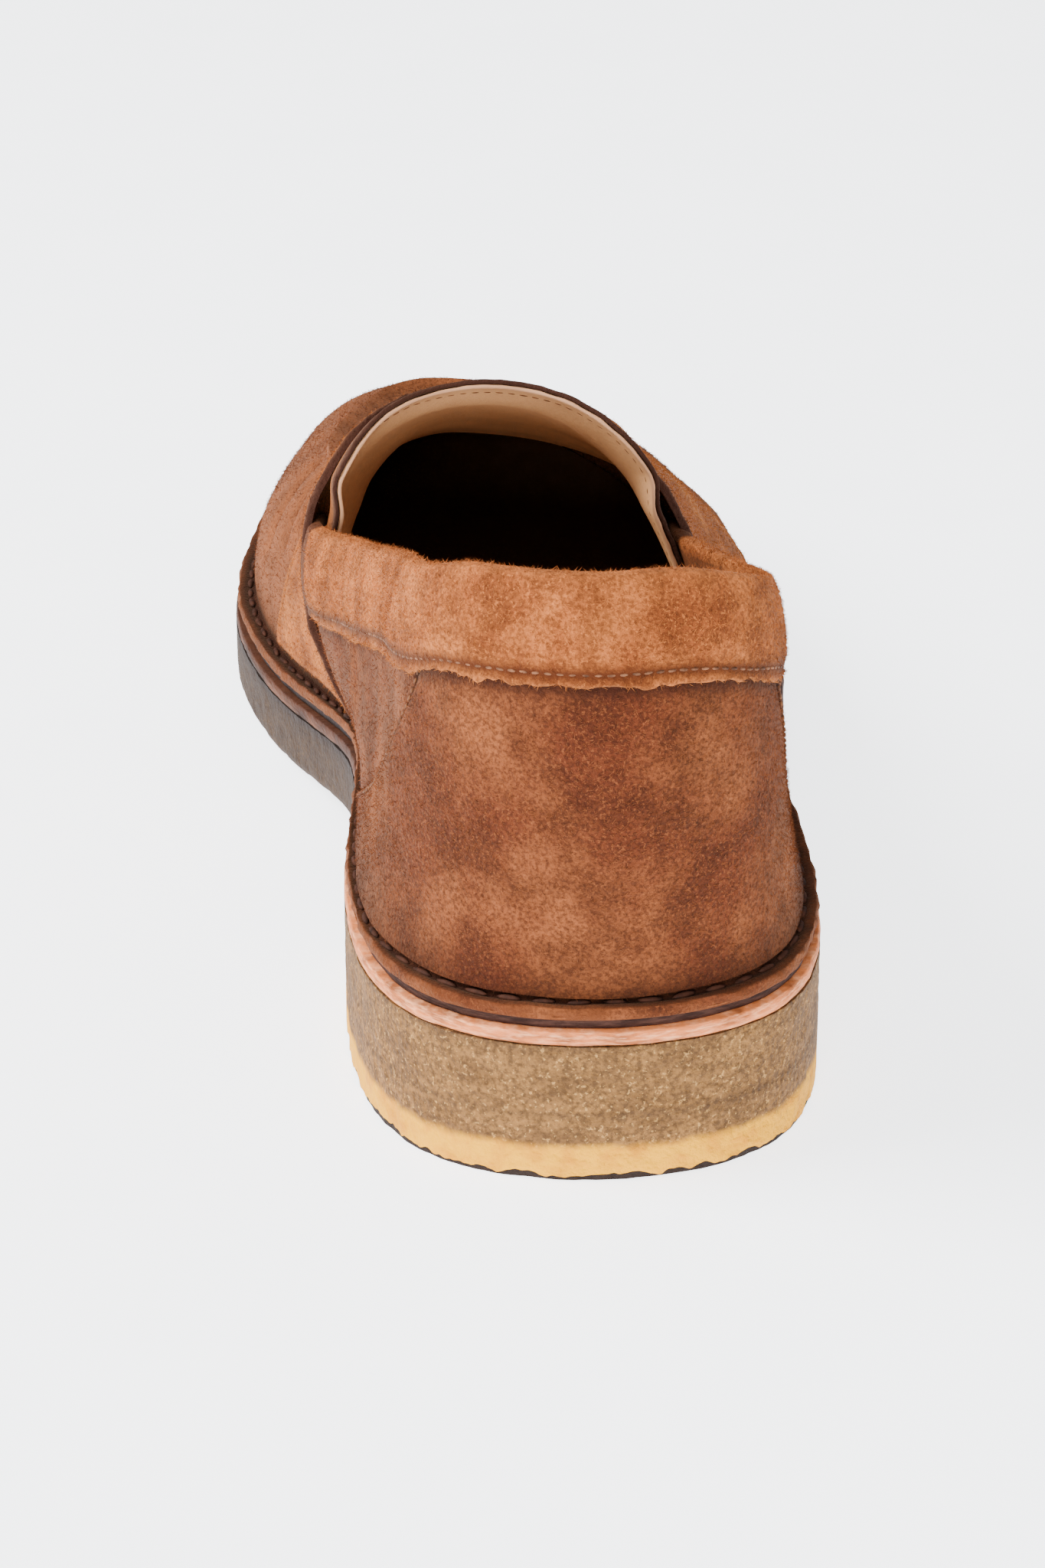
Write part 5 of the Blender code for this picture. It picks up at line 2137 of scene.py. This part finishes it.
@dataclass
class Stitching:
    """All the stitch rows of the shoe."""

    flange: Stitch = Stitch(0.0052, 0.0040, 0.0011, 0.0010, 0.16)
    fine: Stitch = Stitch(0.0018, 0.0014, 0.00050, 0.00045)
    lining: Stitch = Stitch(0.0020, 0.0013, 0.00028, 0.00020)
    lining_inset: float = 0.0022

    def rows(self) -> list[StitchRow]:
        """Where each row runs."""
        counters = [self.counter_row(side) for side in (-1, 1)]
        return [self.flange_row(), self.collar_row(), *counters, self.lining_row()]

    def flange_row(self) -> StitchRow:
        """Heavy stitches round the flange, close to the crease.

        Returns:
            The row.
        """
        upper = Upper()
        line = upper.flat(np.linspace(-1, 1, 900), FLANGE_TOP - 0.0003, -upper.groove_reach)
        out = np.zeros_like(line)
        out[:, 2] = 1.0
        return StitchRow("stitchdown_stitches", self.flange, Looks.DARK_THREAD, "suede", line, out, 1)

    def collar_row(self) -> StitchRow:
        """Small pale stitches just above the collar's raw lower edge.

        Returns:
            The row.
        """
        collar = Collar()
        station = np.linspace(-LAST.throat_side * 0.99, LAST.throat_side * 0.99, 700)
        off = LAP_GAP + 0.66 * collar.puff(station)
        line = LAST.collar_point(station, off, 0 * station + collar.stitch_down)
        share = LAST.share_below(station, LAST.topline_share(station), collar.stitch_down)
        out = LAST.normal(station, share)
        return StitchRow("collar_stitches", self.fine, Looks.PALE_THREAD, collar.slot, line, out, 2)

    def counter_row(self, side: int) -> StitchRow:
        """Small stitches along a front seam of the counter.

        Args:
            side: -1 for the inner seam and 1 for the outer one.

        Returns:
            The row.
        """
        counter = Counter()
        level = np.linspace(0.30, 0.97, 260)
        _, _, near = counter.place_at(level, 0 * level + side * 0.93)
        spread = side * (1 - 0.07 * counter.seam_inset / np.maximum(near, 0.0005))
        station, share, _ = counter.place_at(level, spread)
        line = LAST.skin(station, share, 0 * share + 0.0002 + COUNTER_THICKNESS)
        out = LAST.normal(station, share)
        name = f"counter_stitches_{'outer' if side > 0 else 'inner'}"
        return StitchRow(name, self.fine, Looks.LINING_THREAD, counter.slot, line, out, 3 + side)

    def lining_row(self) -> StitchRow:
        """Short brown stitches on the lining, just inside its rear edge.

        Returns:
            The row.
        """
        lining = TongueLining()
        turn = np.linspace(-0.9, 0.9, 500)
        share = lining.foot_share + (1 - lining.foot_share) * (1 - np.abs(turn))
        part = self.lining_inset / ((lining.front(share) - lining.rear(share)) * SHOE_LENGTH)
        along, station, share = lining.place_at(turn, part)
        depth = lining.depth(along, share) + lining.above + lining.thickness
        line = LAST.skin(station, share, -depth)
        out = LAST.normal(station, share)
        return StitchRow("lining_edge_stitches", self.lining, Looks.LINING_THREAD, lining.slot, line, out, 9)


# Nap

def nap_nodes(graph: Graph, given: bpy.types.NodeInputs) -> Socket:
    """Scatters short fibres over a surface, tilted and turned at random.

    Args:
        graph: The tree's graph.
        given: The tree's inputs.

    Returns:
        The instances.
    """
    nap = graph.add("GeometryNodeInputNamedAttribute", {"data_type": "FLOAT"}, {"Name": "nap"})
    density = graph.math("MULTIPLY", nap.outputs["Attribute"], given["Density"])
    spread = {"Mesh": given["Geometry"], "Density": density, "Seed": given["Seed"]}
    spots = graph.add("GeometryNodeDistributePointsOnFaces", None, spread).outputs
    brushed = {"Geometry": spots["Points"], "Name": "lift", "Value": graph.random(0.0, 0.9, 3)}
    stored = {"data_type": "FLOAT", "domain": "POINT"}
    toned = graph.add("GeometryNodeStoreNamedAttribute", stored, brushed)
    spun = graph.turn(spots["Rotation"], "Z", graph.random(0.0, 2 * math.pi, 1))
    tilted = graph.turn(spun, "X", graph.random(0.7, 1.45, 2))
    cone = {"Vertices": 3, "Radius Top": 0.0, "Radius Bottom": 0.07, "Depth": 1.0}
    fibre = graph.add("GeometryNodeMeshCone", {"fill_type": "NONE"}, cone)
    inputs = {
        "Points": toned.outputs[0],
        "Instance": fibre.outputs["Mesh"],
        "Rotation": tilted,
        "Scale": graph.math("MULTIPLY", graph.random(0.5, 1.3, 4), given["Length"]),
    }
    return graph.add("GeometryNodeInstanceOnPoints", None, inputs).outputs[0]


@dataclass
class Nap:
    """Short fibres that stand off a suede piece, most visible along its edges."""

    base: bpy.types.Object
    piece: Piece
    per_area: float
    seed: int
    length: float = 0.0008

    def build(self) -> None:
        """Scatters the fibres and keeps them as a plain mesh of their own."""
        name = self.piece.node + "_nap"
        wanted = {
            "Density": self.per_area,
            "Length": self.length,
            "Seed": self.seed,
            "Material": self.piece.look.value.material(),
        }
        kinds = {"Density": "Float", "Length": "Float", "Seed": "Int"}
        tree = geometry_tree("nap", kinds, nap_nodes)
        grow(linked(name, self.base.data.copy()), tree, wanted)


# Studio

class Light(NamedTuple):
    """A large soft light: where it is, its turn in degrees, its side and its power in watts."""

    name: str
    place: tuple[float, float, float]
    turn: tuple[float, float, float]
    size: float
    power: float


LIGHTS = (
    Light("key", (-1.1, 0.0, 1.1), (0, -45, 0), 0.9, 44.0),
    Light("top", (-0.1, -0.9, 1.0), (45, 0, -6), 0.4, 6.0),
    Light("front", (-0.3, -1.5, 0.28), (82, 0, -11), 0.5, 19.0),
)


@dataclass
class Studio:
    """Pale floor, soft light and the camera at the photograph's angle."""

    floor_half: float = 4.0
    world_strength: float = 0.72

    def floor(self) -> None:
        """Adds the floor."""
        data = bpy.data.meshes.new("floor")
        half = self.floor_half
        corners = [(-half, -half, 0), (half, -half, 0), (half, half, 0), (-half, half, 0)]
        data.from_pydata(corners, [], [(0, 1, 2, 3)])
        data.materials.append(Floor().material())
        linked("floor", data)

    def light(self, light: Light) -> None:
        """Adds a light.

        Args:
            light: Its place and sizes.
        """
        data = bpy.data.lights.new(light.name, "AREA")
        data.shape = "SQUARE"
        data.size = light.size
        data.energy = light.power
        made = linked(light.name, data)
        made.location = light.place
        made.rotation_euler = [math.radians(angle) for angle in light.turn]

    def world(self) -> None:
        """Fills the surroundings with even pale light."""
        world = bpy.data.worlds.new("studio")
        world.use_nodes = True
        background = world.node_tree.nodes["Background"]
        background.inputs["Color"].default_value = linear("F2F5FA")
        background.inputs["Strength"].default_value = self.world_strength
        bpy.context.scene.world = world

    def camera(self) -> None:
        """Adds the camera where the photograph was taken from."""
        data = bpy.data.cameras.new("camera")
        data.sensor_fit = "VERTICAL"
        data.sensor_height = CAMERA_SENSOR
        data.lens = CAMERA_LENS
        data.clip_start = 0.01
        made = linked("camera", data)
        made.location = CAMERA_PLACE
        made.rotation_euler = (math.radians(90 - CAMERA_PITCH), 0.0, math.radians(CAMERA_YAW))
        bpy.context.scene.camera = made

    def build(self) -> None:
        """Adds everything round the shoe."""
        self.floor()
        self.world()
        for light in LIGHTS:
            self.light(light)
        self.camera()


PIECES = (HeelLift, Outsole, Midsole, Rand, Insole, Upper, Counter, Collar, Saddle, Tongue, TongueLining)
FIBRES_PER_AREA = {"upper": 1.3e6, "counter": 3.2e6, "collar": 4.0e6, "saddle": 1.8e6}


def main() -> None:
    """Builds the shoe's pieces in order."""
    logging.basicConfig(level=logging.INFO, format="%(name)s: %(message)s")
    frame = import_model()
    LOG.info("the frame has %d nodes", len(frame["nodes"]))
    pieces = [piece() for piece in PIECES]
    placed = {piece.node: piece.place() for piece in pieces}
    for seed, piece in enumerate(pieces):
        if piece.node in FIBRES_PER_AREA:
            Nap(placed[piece.node], piece, FIBRES_PER_AREA[piece.node], seed).build()
    for row in Stitching().rows():
        row.build()
    Studio().build()


if __name__ == "__main__":
    main()
